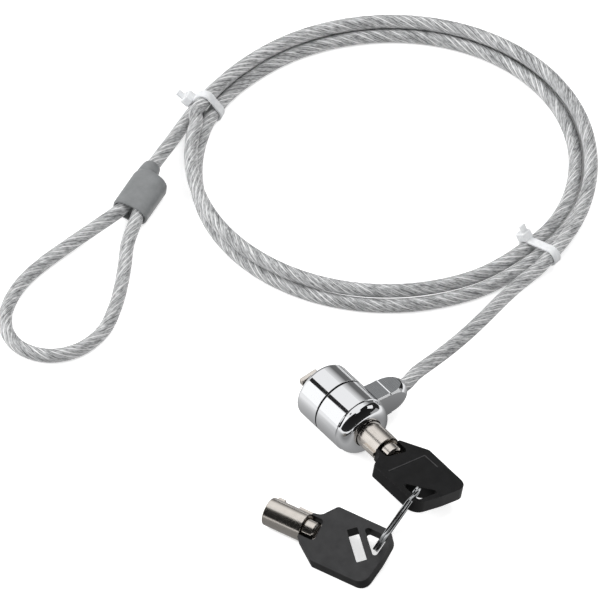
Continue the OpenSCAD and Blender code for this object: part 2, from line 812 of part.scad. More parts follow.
front_collar();
face_pad();
locator_posts();
rear_shell();
cylinder_sleeve();
pin_block();
driver_pins();
pin_springs();
retaining_pin();
spindle();
key_pins();
spindle_clip();
t_bar();
key_1_barrel();
key_1_head();
split_ring();
key_2_barrel();
key_2_head();
cable_stop();
lock_lead();
cable_coil();
ferrule_lead();
eye_loop();
ferrule_cover();
ferrule_crimp();
tie_1();
tie_2();
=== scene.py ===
"""Laptop cable lock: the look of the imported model.

A round lock head with a turning T-bar, two tubular keys on a split ring, and a coated steel cable
with a crimped eye, tied into a coil. Builders work in millimetres in the model's own frame, and
each piece turns into metres when it is finished.
"""

import logging
import math
from dataclasses import dataclass, field, replace
from enum import Enum
from typing import Any, Sequence

import bmesh
import bpy
from mathutils import Matrix, Vector


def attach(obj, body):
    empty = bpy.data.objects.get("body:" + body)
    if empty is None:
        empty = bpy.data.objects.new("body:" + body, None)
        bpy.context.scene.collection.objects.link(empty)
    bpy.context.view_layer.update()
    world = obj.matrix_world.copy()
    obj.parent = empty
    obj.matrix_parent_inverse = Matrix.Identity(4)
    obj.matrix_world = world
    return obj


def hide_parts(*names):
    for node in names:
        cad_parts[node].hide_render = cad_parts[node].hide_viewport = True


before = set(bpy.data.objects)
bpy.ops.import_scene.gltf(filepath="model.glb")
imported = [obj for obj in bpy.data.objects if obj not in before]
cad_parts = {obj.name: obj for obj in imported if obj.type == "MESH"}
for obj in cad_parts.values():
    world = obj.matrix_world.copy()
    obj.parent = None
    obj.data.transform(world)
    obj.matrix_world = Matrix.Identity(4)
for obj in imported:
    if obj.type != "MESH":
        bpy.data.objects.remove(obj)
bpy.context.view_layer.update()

log = logging.getLogger("cable_lock")

MM = 0.001
TABLE = -10.0
TURN = 360.0
Mesh = bmesh.types.BMesh
Piece = bpy.types.Object
Socket = bpy.types.NodeSocket
Point2 = tuple[float, float]
Corner = tuple[float, float, float]


class Body(str, Enum):
    """Moving bodies of the model."""

    LOCK = "lock"
    SPINDLE = "spindle"
    KEY_1 = "key_1"
    RING = "ring"
    KEY_2 = "key_2"


class Slot(str, Enum):
    """Material slots of the record."""

    CHROME = "chrome_shell"
    RUBBER = "rubber_pad"
    NICKEL = "nickel"
    BRASS = "brass"
    PIN = "pin_steel"
    SPRING = "spring_steel"
    RING = "ring_steel"
    KEY_1 = "key_1_plastic"
    KEY_2 = "key_2_plastic"
    CABLE = "coated_cable"
    FERRULE = "ferrule_plastic"
    CRIMP = "crimp_metal"
    TIE = "tie_nylon"


# ---- Colours and nodes ----


def linear(code: str) -> tuple[float, float, float, float]:
    """Turn an sRGB hex colour into linear RGBA.

    Args:
        code: Colour such as "#C0C0C0".

    Returns:
        Red, green, blue and alpha, linear.
    """
    channels = [int(code[i : i + 2], 16) / 255 for i in (1, 3, 5)]
    red, green, blue = (c / 12.92 if c <= 0.04045 else ((c + 0.055) / 1.055) ** 2.4 for c in channels)
    return red, green, blue, 1.0


def add_node(
    tree: bpy.types.NodeTree, kind: str, inputs: dict[Any, Any] | None = None, **settings: Any
) -> bpy.types.Node:
    """Add a node, set its options and fill or link its inputs.

    Args:
        tree: Node tree to add to.
        kind: Blender's node type without its "ShaderNode" prefix.
        inputs: Values or sockets by input name or number.
        settings: Attributes of the node.

    Returns:
        The new node.
    """
    node = tree.nodes.new("ShaderNode" + kind)
    for key, value in settings.items():
        setattr(node, key, value)
    for key, value in (inputs or {}).items():
        if isinstance(value, Socket):
            tree.links.new(value, node.inputs[key])
        else:
            node.inputs[key].default_value = value
    return node


def bare_tree(owner: Any) -> bpy.types.NodeTree:
    """Switch on the nodes of a material or world and empty its tree."""
    owner.use_nodes = True
    owner.node_tree.nodes.clear()
    return owner.node_tree


class Paint:
    """One material's node tree, with short words for the nodes that finishes share."""

    def __init__(self, name: str) -> None:
        """Start a material on an empty principled shader.

        Args:
            name: Name of the material.
        """
        self.material = bpy.data.materials.new(name)
        self.material.use_nodes = True
        self.tree = self.material.node_tree
        self.shader = self.tree.nodes["Principled BSDF"]

    def fixed(self, **values: Any) -> None:
        """Set plain values on the shader's own sockets, with underscores for spaces."""
        for key, value in values.items():
            self.shader.inputs[key.replace("_", " ")].default_value = value

    def drive(self, socket: str, source: Socket) -> None:
        """Link a pattern into one of the shader's sockets."""
        self.tree.links.new(source, self.shader.inputs[socket])

    def place(self, stretch: Sequence[float] = (1, 1, 1), turn: Sequence[float] = (0, 0, 0)) -> Socket:
        """Object coordinates, turned and stretched.

        Args:
            stretch: Scale along each axis.
            turn: Rotation in degrees about X, Y and Z.

        Returns:
            The vector socket.
        """
        where = add_node(self.tree, "TexCoord")
        angles = [math.radians(a) for a in turn]
        inputs = {"Vector": where.outputs["Object"], "Rotation": angles, "Scale": stretch}
        return add_node(self.tree, "Mapping", inputs, vector_type="TEXTURE").outputs["Vector"]

    def local(self, stretch: Sequence[float] = (1, 1, 1)) -> Socket:
        """The piece's own coordinates from before it was put in its place, stretched along each axis."""
        where = add_node(self.tree, "Attribute", attribute_name="local")
        inputs = {"Vector": where.outputs["Vector"], "Scale": stretch}
        return add_node(self.tree, "Mapping", inputs, vector_type="TEXTURE").outputs["Vector"]

    def noise(
        self, vector: Socket, size_mm: float, detail: float = 3.0, rough: float = 0.55
    ) -> Socket:
        """Noise with grains of a real size.

        Args:
            vector: Coordinates in metres.
            size_mm: Size of a grain.
            detail: Octaves of the noise.
            rough: Weight of its finer octaves.

        Returns:
            The value socket, about 0.5 on average.
        """
        inputs = {"Vector": vector, "Scale": 1 / (size_mm * MM), "Detail": detail, "Roughness": rough}
        return add_node(self.tree, "TexNoise", inputs).outputs["Fac"]

    def math(self, operation: str, *values: Any, clamp: bool = False) -> Socket:
        """One arithmetic node on sockets or numbers."""
        node = add_node(self.tree, "Math", dict(enumerate(values)), operation=operation, use_clamp=clamp)
        return node.outputs[0]

    def remap(
        self, value: Socket, low: float, high: float, to_low: float = 0.0, to_high: float = 1.0
    ) -> Socket:
        """Spread a value over another range, held at its ends."""
        inputs = {"Value": value, "From Min": low, "From Max": high, "To Min": to_low, "To Max": to_high}
        return add_node(self.tree, "MapRange", inputs).outputs["Result"]

    def blend(self, factor: Socket, first: Any, second: Any) -> Socket:
        """Mix two colours by a factor socket."""
        node = add_node(self.tree, "Mix", {0: factor, 6: first, 7: second}, data_type="RGBA")
        return node.outputs[2]

    def tones(
        self, value: Socket, low: float, high: float, first: str, second: str
    ) -> Socket:
        """Run from one hex colour to another while a value crosses its range."""
        return self.blend(self.remap(value, low, high), linear(first), linear(second))

    def bump(self, height: Socket, depth_mm: float, strength: float = 1.0) -> None:
        """Lift the surface by a height pattern whose full depth is given in millimetres."""
        inputs = {"Height": height, "Distance": depth_mm * MM, "Strength": strength}
        self.drive("Normal", add_node(self.tree, "Bump", inputs).outputs["Normal"])


# ---- Finishes ----


@dataclass(frozen=True)
class PolishedChrome:
    """Bright plated metal with faint handling haze."""

    name: str
    colour: str = "#E9EAEC"
    haze: float = 0.04
    polish: float = 0.045
    wave_mm: float = 0.0015

    def make(self) -> bpy.types.Material:
        """Build the material."""
        paint = Paint(self.name)
        here = paint.place()
        paint.fixed(Base_Color=linear(self.colour), Metallic=1.0)
        clouds = paint.noise(here, 5.0, detail=2.0)
        fine = paint.noise(paint.place(stretch=(6, 1, 1)), 0.35, detail=4.0, rough=0.7)
        haze = paint.remap(clouds, 0.45, 0.75, self.polish, self.polish + self.haze)
        scratches = paint.remap(fine, 0.62, 0.8, 0.0, 0.08)
        paint.drive("Roughness", paint.math("ADD", haze, scratches))
        paint.bump(paint.noise(here, 3.2, detail=1.0), self.wave_mm)
        return paint.material


@dataclass(frozen=True)
class DrawnMetal:
    """Plated metal with fine lines along a piece's own length."""

    name: str
    colour: str
    shade: str
    roughness: float = 0.2
    spread: float = 0.1
    line_mm: float = 0.16
    depth_mm: float = 0.006
    own: bool = False

    def make(self) -> bpy.types.Material:
        """Build the material."""
        paint = Paint(self.name)
        along = paint.local((40, 1, 1)) if self.own else paint.place(stretch=(40, 1, 1))
        lines = paint.noise(along, self.line_mm, detail=3.0, rough=0.6)
        patches = paint.noise(paint.place(), 2.2, detail=3.0)
        paint.fixed(Metallic=1.0)
        tone = paint.math("MULTIPLY_ADD", patches, 0.6, paint.remap(lines, 0.3, 0.7, -0.1, 0.35), clamp=True)
        paint.drive("Base Color", paint.blend(tone, linear(self.shade), linear(self.colour)))
        paint.drive("Roughness", paint.remap(lines, 0.3, 0.7, self.roughness, self.roughness + self.spread))
        paint.bump(lines, self.depth_mm)
        return paint.material


@dataclass(frozen=True)
class MouldedPlastic:
    """Satin plastic with the fine spark texture of its mould."""

    name: str
    colour: str
    sheen: str
    roughness: float = 0.42
    grain_mm: float = 0.14
    depth_mm: float = 0.012
    specular: float = 0.45

    def make(self) -> bpy.types.Material:
        """Build the material."""
        paint = Paint(self.name)
        here = paint.place()
        grain = paint.noise(here, self.grain_mm, detail=3.0, rough=0.6)
        wear = paint.noise(here, 3.5, detail=4.0, rough=0.6)
        paint.fixed(Specular_IOR_Level=self.specular)
        paint.drive("Base Color", paint.tones(wear, 0.35, 0.75, self.colour, self.sheen))
        paint.drive("Roughness", paint.remap(wear, 0.4, 0.7, self.roughness + 0.04, self.roughness - 0.05))
        paint.bump(grain, self.depth_mm)
        return paint.material


@dataclass(frozen=True)
class CoatedStrand:
    """Stranded wire rope seen through a clear plastic jacket, with painted highlights and painted shade along
    the strands' edges.
    """

    name: str
    strands: int = 9
    lay_mm: float = 27.0
    radius_mm: float = 2.25
    wire_mm: float = 0.2
    draw: float = 0.12
    dark: str = "#6C6D6E"
    steel: str = "#D2D3D4"
    # Painted highlight: glints along the strands' edges.
    bright: str = "#FAFAFA"
    # Painted shade: dark lines in the crevices between strands.
    seam: str = "#606162"
    hand: float = -1.0

    def make(self) -> bpy.types.Material:
        """Build the material; its UV map runs in lays along the cable and in turns round it."""
        paint = Paint(self.name)
        uv = add_node(paint.tree, "UVMap", uv_map="lay")
        split = add_node(paint.tree, "SeparateXYZ", {0: uv.outputs[0]})
        along, round_ = split.outputs[0], split.outputs[1]
        twist = paint.math("MULTIPLY_ADD", along, self.hand, round_)
        turn = paint.math("MULTIPLY", twist, 2 * math.pi)
        waves = [paint.math(wave, turn) for wave in ("COSINE", "SINE")]
        across = [paint.math("MULTIPLY", wave, self.radius_mm * MM) for wave in waves]
        length = paint.math("MULTIPLY", along, self.lay_mm * self.draw * MM)
        laid = add_node(paint.tree, "CombineXYZ", {0: across[0], 1: across[1], 2: length}).outputs[0]
        wires = paint.noise(laid, self.wire_mm, detail=2.0, rough=0.6)
        runs = paint.noise(laid, 1.1, detail=2.0, rough=0.5)
        wobble = paint.math("MULTIPLY_ADD", runs, 0.5, -0.25)
        strand = paint.math("FRACT", paint.math("MULTIPLY_ADD", twist, float(self.strands), wobble))
        off = paint.math("ABSOLUTE", paint.math("MULTIPLY_ADD", strand, 2.0, -1.0))
        metal = paint.tones(wires, 0.36, 0.56, self.dark, self.steel)
        # Along the strands' edges: painted highlights where the runs are high, painted shade where they are
        # low.
        edge = paint.remap(off, 0.6, 0.88)
        lit = paint.math("MULTIPLY", edge, paint.remap(runs, 0.44, 0.54, 0.0, 0.95))
        gap_shade = paint.math("MULTIPLY", edge, paint.remap(runs, 0.4, 0.5, 0.8, 0.0))
        lined = paint.blend(gap_shade, paint.blend(lit, metal, linear(self.bright)), linear(self.seam))
        paint.drive("Base Color", lined)
        paint.fixed(Metallic=0.2, Roughness=0.5, Coat_Weight=0.6, Coat_Roughness=0.26, Coat_IOR=1.5)
        dome = paint.math("SUBTRACT", 1.0, paint.math("MULTIPLY", off, off))
        paint.bump(paint.math("MULTIPLY_ADD", wires, 1.2, dome), 0.14, strength=0.8)
        return paint.material


@dataclass(frozen=True)
class NaturalNylon:
    """Milky, slightly translucent nylon."""

    name: str
    colour: str = "#F4F5F6"
    shade: str = "#E4E6E8"

    def make(self) -> bpy.types.Material:
        """Build the material."""
        paint = Paint(self.name)
        here = paint.place()
        clouds = paint.noise(here, 1.4, detail=3.0)
        paint.drive("Base Color", paint.tones(clouds, 0.35, 0.7, self.shade, self.colour))
        paint.fixed(Roughness=0.38, Subsurface_Weight=0.25)
        paint.fixed(Subsurface_Radius=(0.8, 0.8, 0.85), Subsurface_Scale=MM)
        paint.bump(paint.noise(here, 0.3, detail=2.0), 0.008)
        return paint.material


@dataclass(frozen=True)
class SoftRubber:
    """Matt black rubber."""

    name: str
    colour: str = "#1C1C1D"
    dust: str = "#343434"

    def make(self) -> bpy.types.Material:
        """Build the material."""
        paint = Paint(self.name)
        here = paint.place()
        speck = paint.noise(here, 0.25, detail=4.0, rough=0.7)
        paint.drive("Base Color", paint.tones(speck, 0.5, 0.75, self.colour, self.dust))
        paint.fixed(Roughness=0.78)
        paint.bump(speck, 0.02)
        return paint.material


@dataclass(frozen=True)
class Floor:
    """Pale floor: white to the camera, with its shadows; its glow is cut as painted shade in narrow gaps, and
    in reflections painted shade pools make it greyer near the lock.
    """

    name: str = "pale_floor"
    colour: str = "#EBEBEB"
    glow: float = 0.62
    bounce: str = "#A6A6A6"
    # Painted shade pools, seen only in reflections: centre x and y, inner and outer reach in mm, and darkest
    # strength.
    shade_pools: tuple[tuple[float, ...], ...] = ((14.0, 14.0, 8.0, 76.0, 0.14), (50.0, -45.0, 25.0, 80.0, 0.26))
    gap_mm: float = 4.0

    def make(self) -> bpy.types.Material:
        """Build the material."""
        material = bpy.data.materials.new(self.name)
        tree = bare_tree(material)
        paths = add_node(tree, "LightPath")
        # Painted shade: the camera's glow fades where ambient occlusion finds a narrow gap, such as between
        # strands.
        gap_shade = add_node(tree, "AmbientOcclusion", {"Distance": self.gap_mm * MM})
        light = {"Value": gap_shade.outputs["AO"], "From Min": 0.1, "From Max": 0.3, "To Max": self.glow}
        lit = add_node(tree, "MapRange", light)
        rays = {0: paths.outputs["Is Camera Ray"], 1: lit.outputs[0]}
        seen = add_node(tree, "Math", rays, operation="MULTIPLY")
        shade = {0: paths.outputs["Is Diffuse Ray"], 6: linear(self.colour), 7: linear(self.bounce)}
        tint = add_node(tree, "Mix", shade, data_type="RGBA")
        matt = add_node(tree, "BsdfDiffuse", {"Color": tint.outputs[2]})
        glow = add_node(tree, "Emission", {"Color": (1, 1, 1, 1), "Strength": seen.outputs[0]})
        plain = add_node(tree, "AddShader", {0: matt.outputs[0], 1: glow.outputs[0]})
        # Painted shade in reflections: glossy rays see the floor darker near the lock and the second key.
        where = add_node(tree, "TexCoord")
        tones = []
        for x, y, near, far, low in self.shade_pools:
            spot = {0: where.outputs["Object"], 1: (x * MM, y * MM, TABLE * MM)}
            away = add_node(tree, "VectorMath", spot, operation="DISTANCE")
            ends = {"From Min": near * MM, "From Max": far * MM, "To Min": low}
            reach = {"Value": away.outputs["Value"], **ends}
            tones.append(add_node(tree, "MapRange", reach).outputs[0])
        tone = add_node(tree, "Math", dict(enumerate(tones)), operation="MINIMUM")
        mirrored = add_node(tree, "Emission", {"Color": (1, 1, 1, 1), "Strength": tone.outputs[0]})
        others = {0: paths.outputs["Is Glossy Ray"], 1: paths.outputs["Is Transmission Ray"]}
        other = add_node(tree, "Math", others, operation="MAXIMUM")
        both = add_node(tree, "MixShader", {0: other.outputs[0], 1: plain.outputs[0], 2: mirrored.outputs[0]})
        add_node(tree, "OutputMaterial", {"Surface": both.outputs[0]})
        return material


@dataclass
class Finishes:
    """Every finish of the lock, by the record's slot."""

    recipes: dict[Slot, Any] = field(
        default_factory=lambda: {
            Slot.CHROME: PolishedChrome("polished_chrome"),
            Slot.RUBBER: SoftRubber("soft_rubber"),
            Slot.NICKEL: DrawnMetal("warm_nickel", "#EBE6E0", "#D0C9C1", 0.16, 0.08, 0.12, 0.0012, own=True),
            Slot.BRASS: DrawnMetal("machined_brass", "#D8BE86", "#A98F58", 0.25),
            Slot.PIN: DrawnMetal("ground_steel", "#D6D6D4", "#A9A9A8", 0.25),
            Slot.SPRING: DrawnMetal("spring_wire", "#8F9092", "#5E5F61", 0.35),
            Slot.RING: PolishedChrome("bright_ring", "#C6C8CA", 0.04, 0.03),
            Slot.KEY_1: MouldedPlastic("black_plastic", "#111112", "#19191A", 0.36, specular=0.27),
            Slot.KEY_2: MouldedPlastic("grey_black_plastic", "#2E2E2F", "#373738", 0.38, specular=0.3),
            Slot.CABLE: CoatedStrand("coated_strand"),
            Slot.FERRULE: MouldedPlastic("grey_vinyl", "#808283", "#8C8E8F", 0.34, 0.4, 0.01),
            # Painted shade: the crimp is coloured dark grey for the shade inside the ferrule's mouth.
            Slot.CRIMP: DrawnMetal("crimp_painted_shade", "#4A4B4C", "#2A2B2C", 0.4),
            Slot.TIE: NaturalNylon("natural_nylon"),
        }
    )
    made: dict[tuple[Slot, bool], bpy.types.Material] = field(default_factory=dict)

    lug: Any = DrawnMetal("satin_lug", "#9A9C9E", "#858789", 0.2, 0.1, 0.2, 0.003)
    # Painted shade: the seam's groove is coloured near-black for the shade in its depth.
    groove: Any = SoftRubber("groove_painted_shade", "#0C0C0D", "#161617")
    # Painted highlight: the moulded line is coloured lighter than the black head it stands on.
    line_highlight: Any = MouldedPlastic("raised_line_painted_highlight", "#3E3E3F", "#4A4A4B")
    # Painted highlight: a lighter grey, with stronger gloss, on the bevels of the first key's head.
    key_edge_highlight: Any = MouldedPlastic("key_edge_painted_highlight", "#686869", "#747475", 0.24, specular=0.9)
    # Painted shade: a darker copy of the second key's plastic for its bevels and side walls.
    side: Any = MouldedPlastic("key_side_painted_shade", "#19191A", "#202021", 0.34, specular=0.22)
    # Painted highlight: white plastic on the lug's rounded corners, bright where the chrome shows no
    # reflection.
    lug_corner_highlight: Any = MouldedPlastic("lug_corner_painted_highlight", "#DADBDC", "#E8E9EA", 0.3)

    def get(self, slot: Slot, kept: bool = False) -> bpy.types.Material:
        """The material of a slot, made once.

        Args:
            slot: The record's slot.
            kept: True for a node of the model, which carries no coordinates of its own.

        Returns:
            The material.
        """
        key = (slot, kept)
        recipe = self.recipes[slot]
        if kept and getattr(recipe, "own", False):
            recipe = replace(recipe, name=recipe.name + "_inside", own=False)
        elif (slot, False) in self.made:
            return self.made[(slot, False)]
        if key not in self.made:
            self.made[key] = recipe.make()
        return self.made[key]


# ---- Shapes ----


def rotated(degrees: float, axis: str) -> Matrix:
    """Rotation about one axis."""
    return Matrix.Rotation(math.radians(degrees), 4, axis)


def filleted(corners: Sequence[Corner], closed: bool = True, steps: int = 5) -> list[Point2]:
    """Round the corners of an outline.

    Args:
        corners: Points as (a, b, radius).
        closed: True for a loop, False for a path that keeps its ends.
        steps: Straight pieces in each rounded corner.

    Returns:
        The outline's points.
    """
    points: list[Point2] = []
    count = len(corners)
    for i, (a, b, radius) in enumerate(corners):
        if radius <= 0 or (not closed and i in (0, count - 1)):
            points.append((a, b))
            continue
        here = Vector((a, b))
        before = (Vector(corners[i - 1][:2]) - here).normalized()
        after = (Vector(corners[(i + 1) % count][:2]) - here).normalized()
        half = math.acos(max(-1.0, min(1.0, before.dot(after)))) / 2
        centre = here + (before + after).normalized() * (radius / math.sin(half))
        start = here + before * (radius / math.tan(half)) - centre
        end = here + after * (radius / math.tan(half)) - centre
        turn = math.atan2(start.x * end.y - start.y * end.x, start.dot(end))
        for k in range(steps + 1):
            angle = math.atan2(start.y, start.x) + turn * k / steps
            points.append((centre.x + radius * math.cos(angle), centre.y + radius * math.sin(angle)))
    return points


def lathe(profile: Sequence[Point2], closed: bool = True, segments: int = 144) -> Mesh:
    """Turn a profile about the X axis.

    Args:
        profile: Points as (x, radius).
        closed: True where the profile is a loop off the axis.
        segments: Steps of the full turn.

    Returns:
        The turned solid.
    """
    bm = bmesh.new()
    verts = [bm.verts.new((x, radius, 0)) for x, radius in profile]
    pairs = list(zip(verts, verts[1:])) + ([(verts[-1], verts[0])] if closed else [])
    edges = [bm.edges.new(pair) for pair in pairs]
    full = {"angle": 2 * math.pi, "steps": segments, "use_merge": True, "use_duplicate": False}
    bmesh.ops.spin(bm, geom=verts + edges, cent=(0, 0, 0), axis=(1, 0, 0), **full)
    bmesh.ops.remove_doubles(bm, verts=bm.verts[:], dist=1e-4)
    bmesh.ops.recalc_face_normals(bm, faces=bm.faces[:])
    return bm


def soften(bm: Mesh, width: float, angle: float = 40.0, segments: int = 3) -> None:
    """Bevel every edge that is sharper than an angle.

    Args:
        bm: Mesh to soften.
        width: Width of the bevel.
        angle: Least angle between two faces, in degrees.
        segments: Faces across the bevel.
    """
    sharp = [e for e in bm.edges if len(e.link_faces) == 2 and e.calc_face_angle(0.0) > math.radians(angle)]
    form = {"segments": segments, "profile": 0.5, "affect": "EDGES", "clamp_overlap": True, "material": -1}
    bmesh.ops.bevel(bm, geom=sharp, offset=width, offset_type="OFFSET", **form)


def plate(outline: Sequence[Point2], holes: Sequence[Sequence[Point2]], low: float, high: float) -> Mesh:
    """Flat plate with holes, standing from one level to another.

    Args:
        outline: Outer loop.
        holes: Inner loops.
        low: Lower face's level.
        high: Upper face's level.

    Returns:
        The closed plate.
    """
    bm = bmesh.new()
    edges = []
    for loop in [outline, *holes]:
        verts = [bm.verts.new((x, y, low)) for x, y in loop]
        edges += [bm.edges.new(pair) for pair in zip(verts, verts[1:] + verts[:1])]
    bmesh.ops.triangle_fill(bm, use_beauty=True, use_dissolve=False, edges=edges)
    sheet = bm.faces[:]
    lifted = bmesh.ops.extrude_face_region(bm, geom=sheet, use_keep_orig=True)["geom"]
    top = [g for g in lifted if isinstance(g, bmesh.types.BMVert)]
    bmesh.ops.translate(bm, verts=top, vec=(0, 0, high - low))
    bmesh.ops.recalc_face_normals(bm, faces=bm.faces[:])
    return bm


def block(size: Sequence[float], centre: Sequence[float], round_off: float = 0.0, segments: int = 3) -> Mesh:
    """Box with rounded edges.

    Args:
        size: Length along each axis.
        centre: Its middle.
        round_off: Width of the bevel.
        segments: Faces across the bevel.

    Returns:
        The box.
    """
    bm = bmesh.new()
    form = Matrix.Translation(Vector(centre)) @ Matrix.Diagonal((*size, 1.0))
    bmesh.ops.create_cube(bm, size=1.0, matrix=form)
    if round_off > 0:
        soften(bm, round_off, segments=segments)
    return bm


def loft(sections: Sequence[Sequence[Vector]], cap_first: bool = True, cap_last: bool = True) -> Mesh:
    """Skin over rings with the same number of points.

    Args:
        sections: Rings in order.
        cap_first: Close the first ring.
        cap_last: Close the last ring.

    Returns:
        The skin.
    """
    bm = bmesh.new()
    ring = [bm.verts.new(p) for p in sections[0]]
    edges = [bm.edges.new(pair) for pair in zip(ring, ring[1:] + ring[:1])]
    first = edges
    for section in sections[1:]:
        grown = bmesh.ops.extrude_edge_only(bm, edges=edges)["geom"]
        verts = [g for g in grown if isinstance(g, bmesh.types.BMVert)]
        edges = [g for g in grown if isinstance(g, bmesh.types.BMEdge)]
        below = {}
        for vert in verts:
            neighbours = (e.other_vert(vert) for e in vert.link_edges)
            below[vert] = ring.index(next(v for v in neighbours if v in ring))
            vert.co = section[below[vert]]
        ring = sorted(verts, key=below.get)
    for cap, loop in ((cap_first, first), (cap_last, edges)):
        if cap:
            bmesh.ops.holes_fill(bm, edges=loop, sides=0)
    bmesh.ops.recalc_face_normals(bm, faces=bm.faces[:])
    return bm


def join(*parts: Mesh) -> Mesh:
    """Put several meshes into one, in order."""
    whole = bmesh.new()
    for part in parts:
        carrier = bpy.data.meshes.new("carrier")
        part.to_mesh(carrier)
        whole.from_mesh(carrier)
        bpy.data.meshes.remove(carrier)
        part.free()
    return whole


def hang(name: str, data: Any) -> Piece:
    """Put new data into the scene as an object."""
    thing = bpy.data.objects.new(name, data)
    bpy.context.scene.collection.objects.link(thing)
    return thing


def stage_piece(bm: Mesh, name: str, material: bpy.types.Material) -> Piece:
    """Turn a mesh in metres into a piece of the studio, which isn't part of the lock.

    Args:
        bm: Mesh in metres; it is freed.
        name: Name of the piece.
        material: Its finish.

    Returns:
        The object.
    """
    mesh = bpy.data.meshes.new(name)
    bm.to_mesh(mesh)
    bm.free()
    mesh.materials.append(material)
    piece = hang(name, mesh)
    return piece


@dataclass
class Workshop:
    """Finishes pieces: metres, smooth shading, the material of their record slot, and body."""

    finishes: Finishes

    def finish(
        self,
        bm: Mesh,
        name: str,
        slot: Slot,
        body: Body,
        replaces: Sequence[str] = (),
        place: Matrix | None = None,
        smooth: float = 38.0,
        weigh: bool = True,
        coats: Sequence[Any] = (),
    ) -> Piece:
        """Turn a mesh into a finished piece of the lock.

        Args:
            bm: Mesh in millimetres; it is freed.
            name: Name of the piece.
            slot: Its finish.
            body: The body that it moves with.
            replaces: Nodes of the model that it stands for.
            place: Its place in the model's frame, in millimetres.
            smooth: Angle in degrees under which an edge is shaded smooth.
            weigh: Whether broad faces keep their own shading beside rounded edges.
            coats: Finishes by the faces' material number; None is the slot's own.

        Returns:
            The object.
        """
        local = bm.verts.layers.float_vector.new("local")
        for vert in bm.verts:
            vert[local] = vert.co * MM
        if place is not None:
            bmesh.ops.transform(bm, matrix=place, verts=bm.verts[:])
        bmesh.ops.scale(bm, vec=(MM, MM, MM), verts=bm.verts[:])
        mesh = bpy.data.meshes.new(name)
        bm.to_mesh(mesh)
        bm.free()
        mesh.polygons.foreach_set("use_smooth", [True] * len(mesh.polygons))
        mesh.set_sharp_from_angle(angle=math.radians(smooth))
        for coat in coats or (None,):
            mesh.materials.append(coat.make() if coat else self.finishes.get(slot))
        piece = hang(name, mesh)
        if weigh:
            flatten = piece.modifiers.new("flatten", "WEIGHTED_NORMAL")
            flatten.keep_sharp = True
            flatten.weight = 100
        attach(piece, body.value)
        if replaces:
            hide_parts(*replaces)
        log.info("%s: %d faces on %s", name, len(mesh.polygons), body.value)
        return piece

    def coat_nodes(self, coats: dict[str, Slot]) -> None:
        """Give nodes of the model that stay their finish.

        Args:
            coats: Slot by node name.
        """
        for node, slot in coats.items():
            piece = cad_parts[node]
            material = self.finishes.get(slot, kept=True)
            if not piece.material_slots:
                piece.data.materials.append(material)
            for holder in piece.material_slots:
                holder.material = material
            log.info("%s keeps its solid, finished as %s", node, slot.value)


# ---- Cable ----

LOCK_LEAD = [
    (13.6, 28.6, 9.8), (11.9, 37.1, 9), (10, 45.5, 8.1), (7.7, 54.1, 7.3), (5.1, 62.4, 6.6),
    (2.2, 71.1, 6), (-0.3, 79.3, 5.5), (-1.9, 86.4, 5.2),
]
FERRULE_LEAD = [(-121.5, 32.4, 3.7), (-118.7, 26.6, 4.2)]
EYE = [
    (-105.6, -10.5, 4.3), (-105.4, -21.3, 3), (-104.5, -32.1, 2.3), (-102.1, -41.9, 2.25),
    (-98.4, -49.7, 2.25), (-93, -56.4, 2.25), (-86.3, -60.4, 2.25), (-79.3, -61, 2.25),
    (-73.2, -58.3, 2.25), (-68.9, -53.3, 2.25), (-66.7, -45.2, 2.25), (-68.6, -35.3, 2.25),
    (-74.7, -25.8, 2.25), (-81.7, -17.9, 2.25), (-88.3, -11.4, 2.4), (-94.3, -5.8, 2.9),
]


def on_table(point: Sequence[float]) -> Vector:
    """A point whose third number is its height above the table."""
    return Vector((point[0], point[1], TABLE + point[2]))


def resample(points: Sequence[Vector], step: float) -> list[Vector]:
    """Smooth curve through points, cut into equal steps.

    Args:
        points: Points that the curve passes through.
        step: Distance between two points of the result.

    Returns:
        Points along the curve.
    """
    fine: list[Vector] = []
    last = len(points) - 1
    for i in range(last):
        p0, p1, p2, p3 = points[max(i - 1, 0)], points[i], points[i + 1], points[min(i + 2, last)]
        d1 = max((p1 - p0).length, 1e-6) ** 0.5 if i > 0 else (p2 - p1).length ** 0.5
        d2 = max((p2 - p1).length, 1e-6) ** 0.5
        d3 = max((p3 - p2).length, 1e-6) ** 0.5 if i + 2 <= last else d2
        start = (p2 - p1) if i == 0 else ((p1 - p0) / d1 - (p2 - p0) / (d1 + d2) + (p2 - p1) / d2) * d2
        end = (p2 - p1) if i + 2 > last else ((p2 - p1) / d2 - (p3 - p1) / (d2 + d3) + (p3 - p2) / d3) * d2
        pieces = max(2, int((p2 - p1).length / 0.4))
        for k in range(pieces):
            t = k / pieces
            fine.append(
                p1 * (2 * t**3 - 3 * t**2 + 1)
                + start * (t**3 - 2 * t**2 + t)
                + p2 * (3 * t**2 - 2 * t**3)
                + end * (t**3 - t**2)
            )
    fine.append(points[last])
    length = sum((b - a).length for a, b in zip(fine, fine[1:]))
    count = max(2, round(length / step))
    gap = length / count
    result, walked, wanted = [fine[0]], 0.0, gap
    for a, b in zip(fine, fine[1:]):
        piece = (b - a).length
        while walked + piece >= wanted - 1e-9 and len(result) < count:
            result.append(a.lerp(b, (wanted - walked) / piece))
            wanted += gap
        walked += piece
    result.append(fine[-1])
    return result


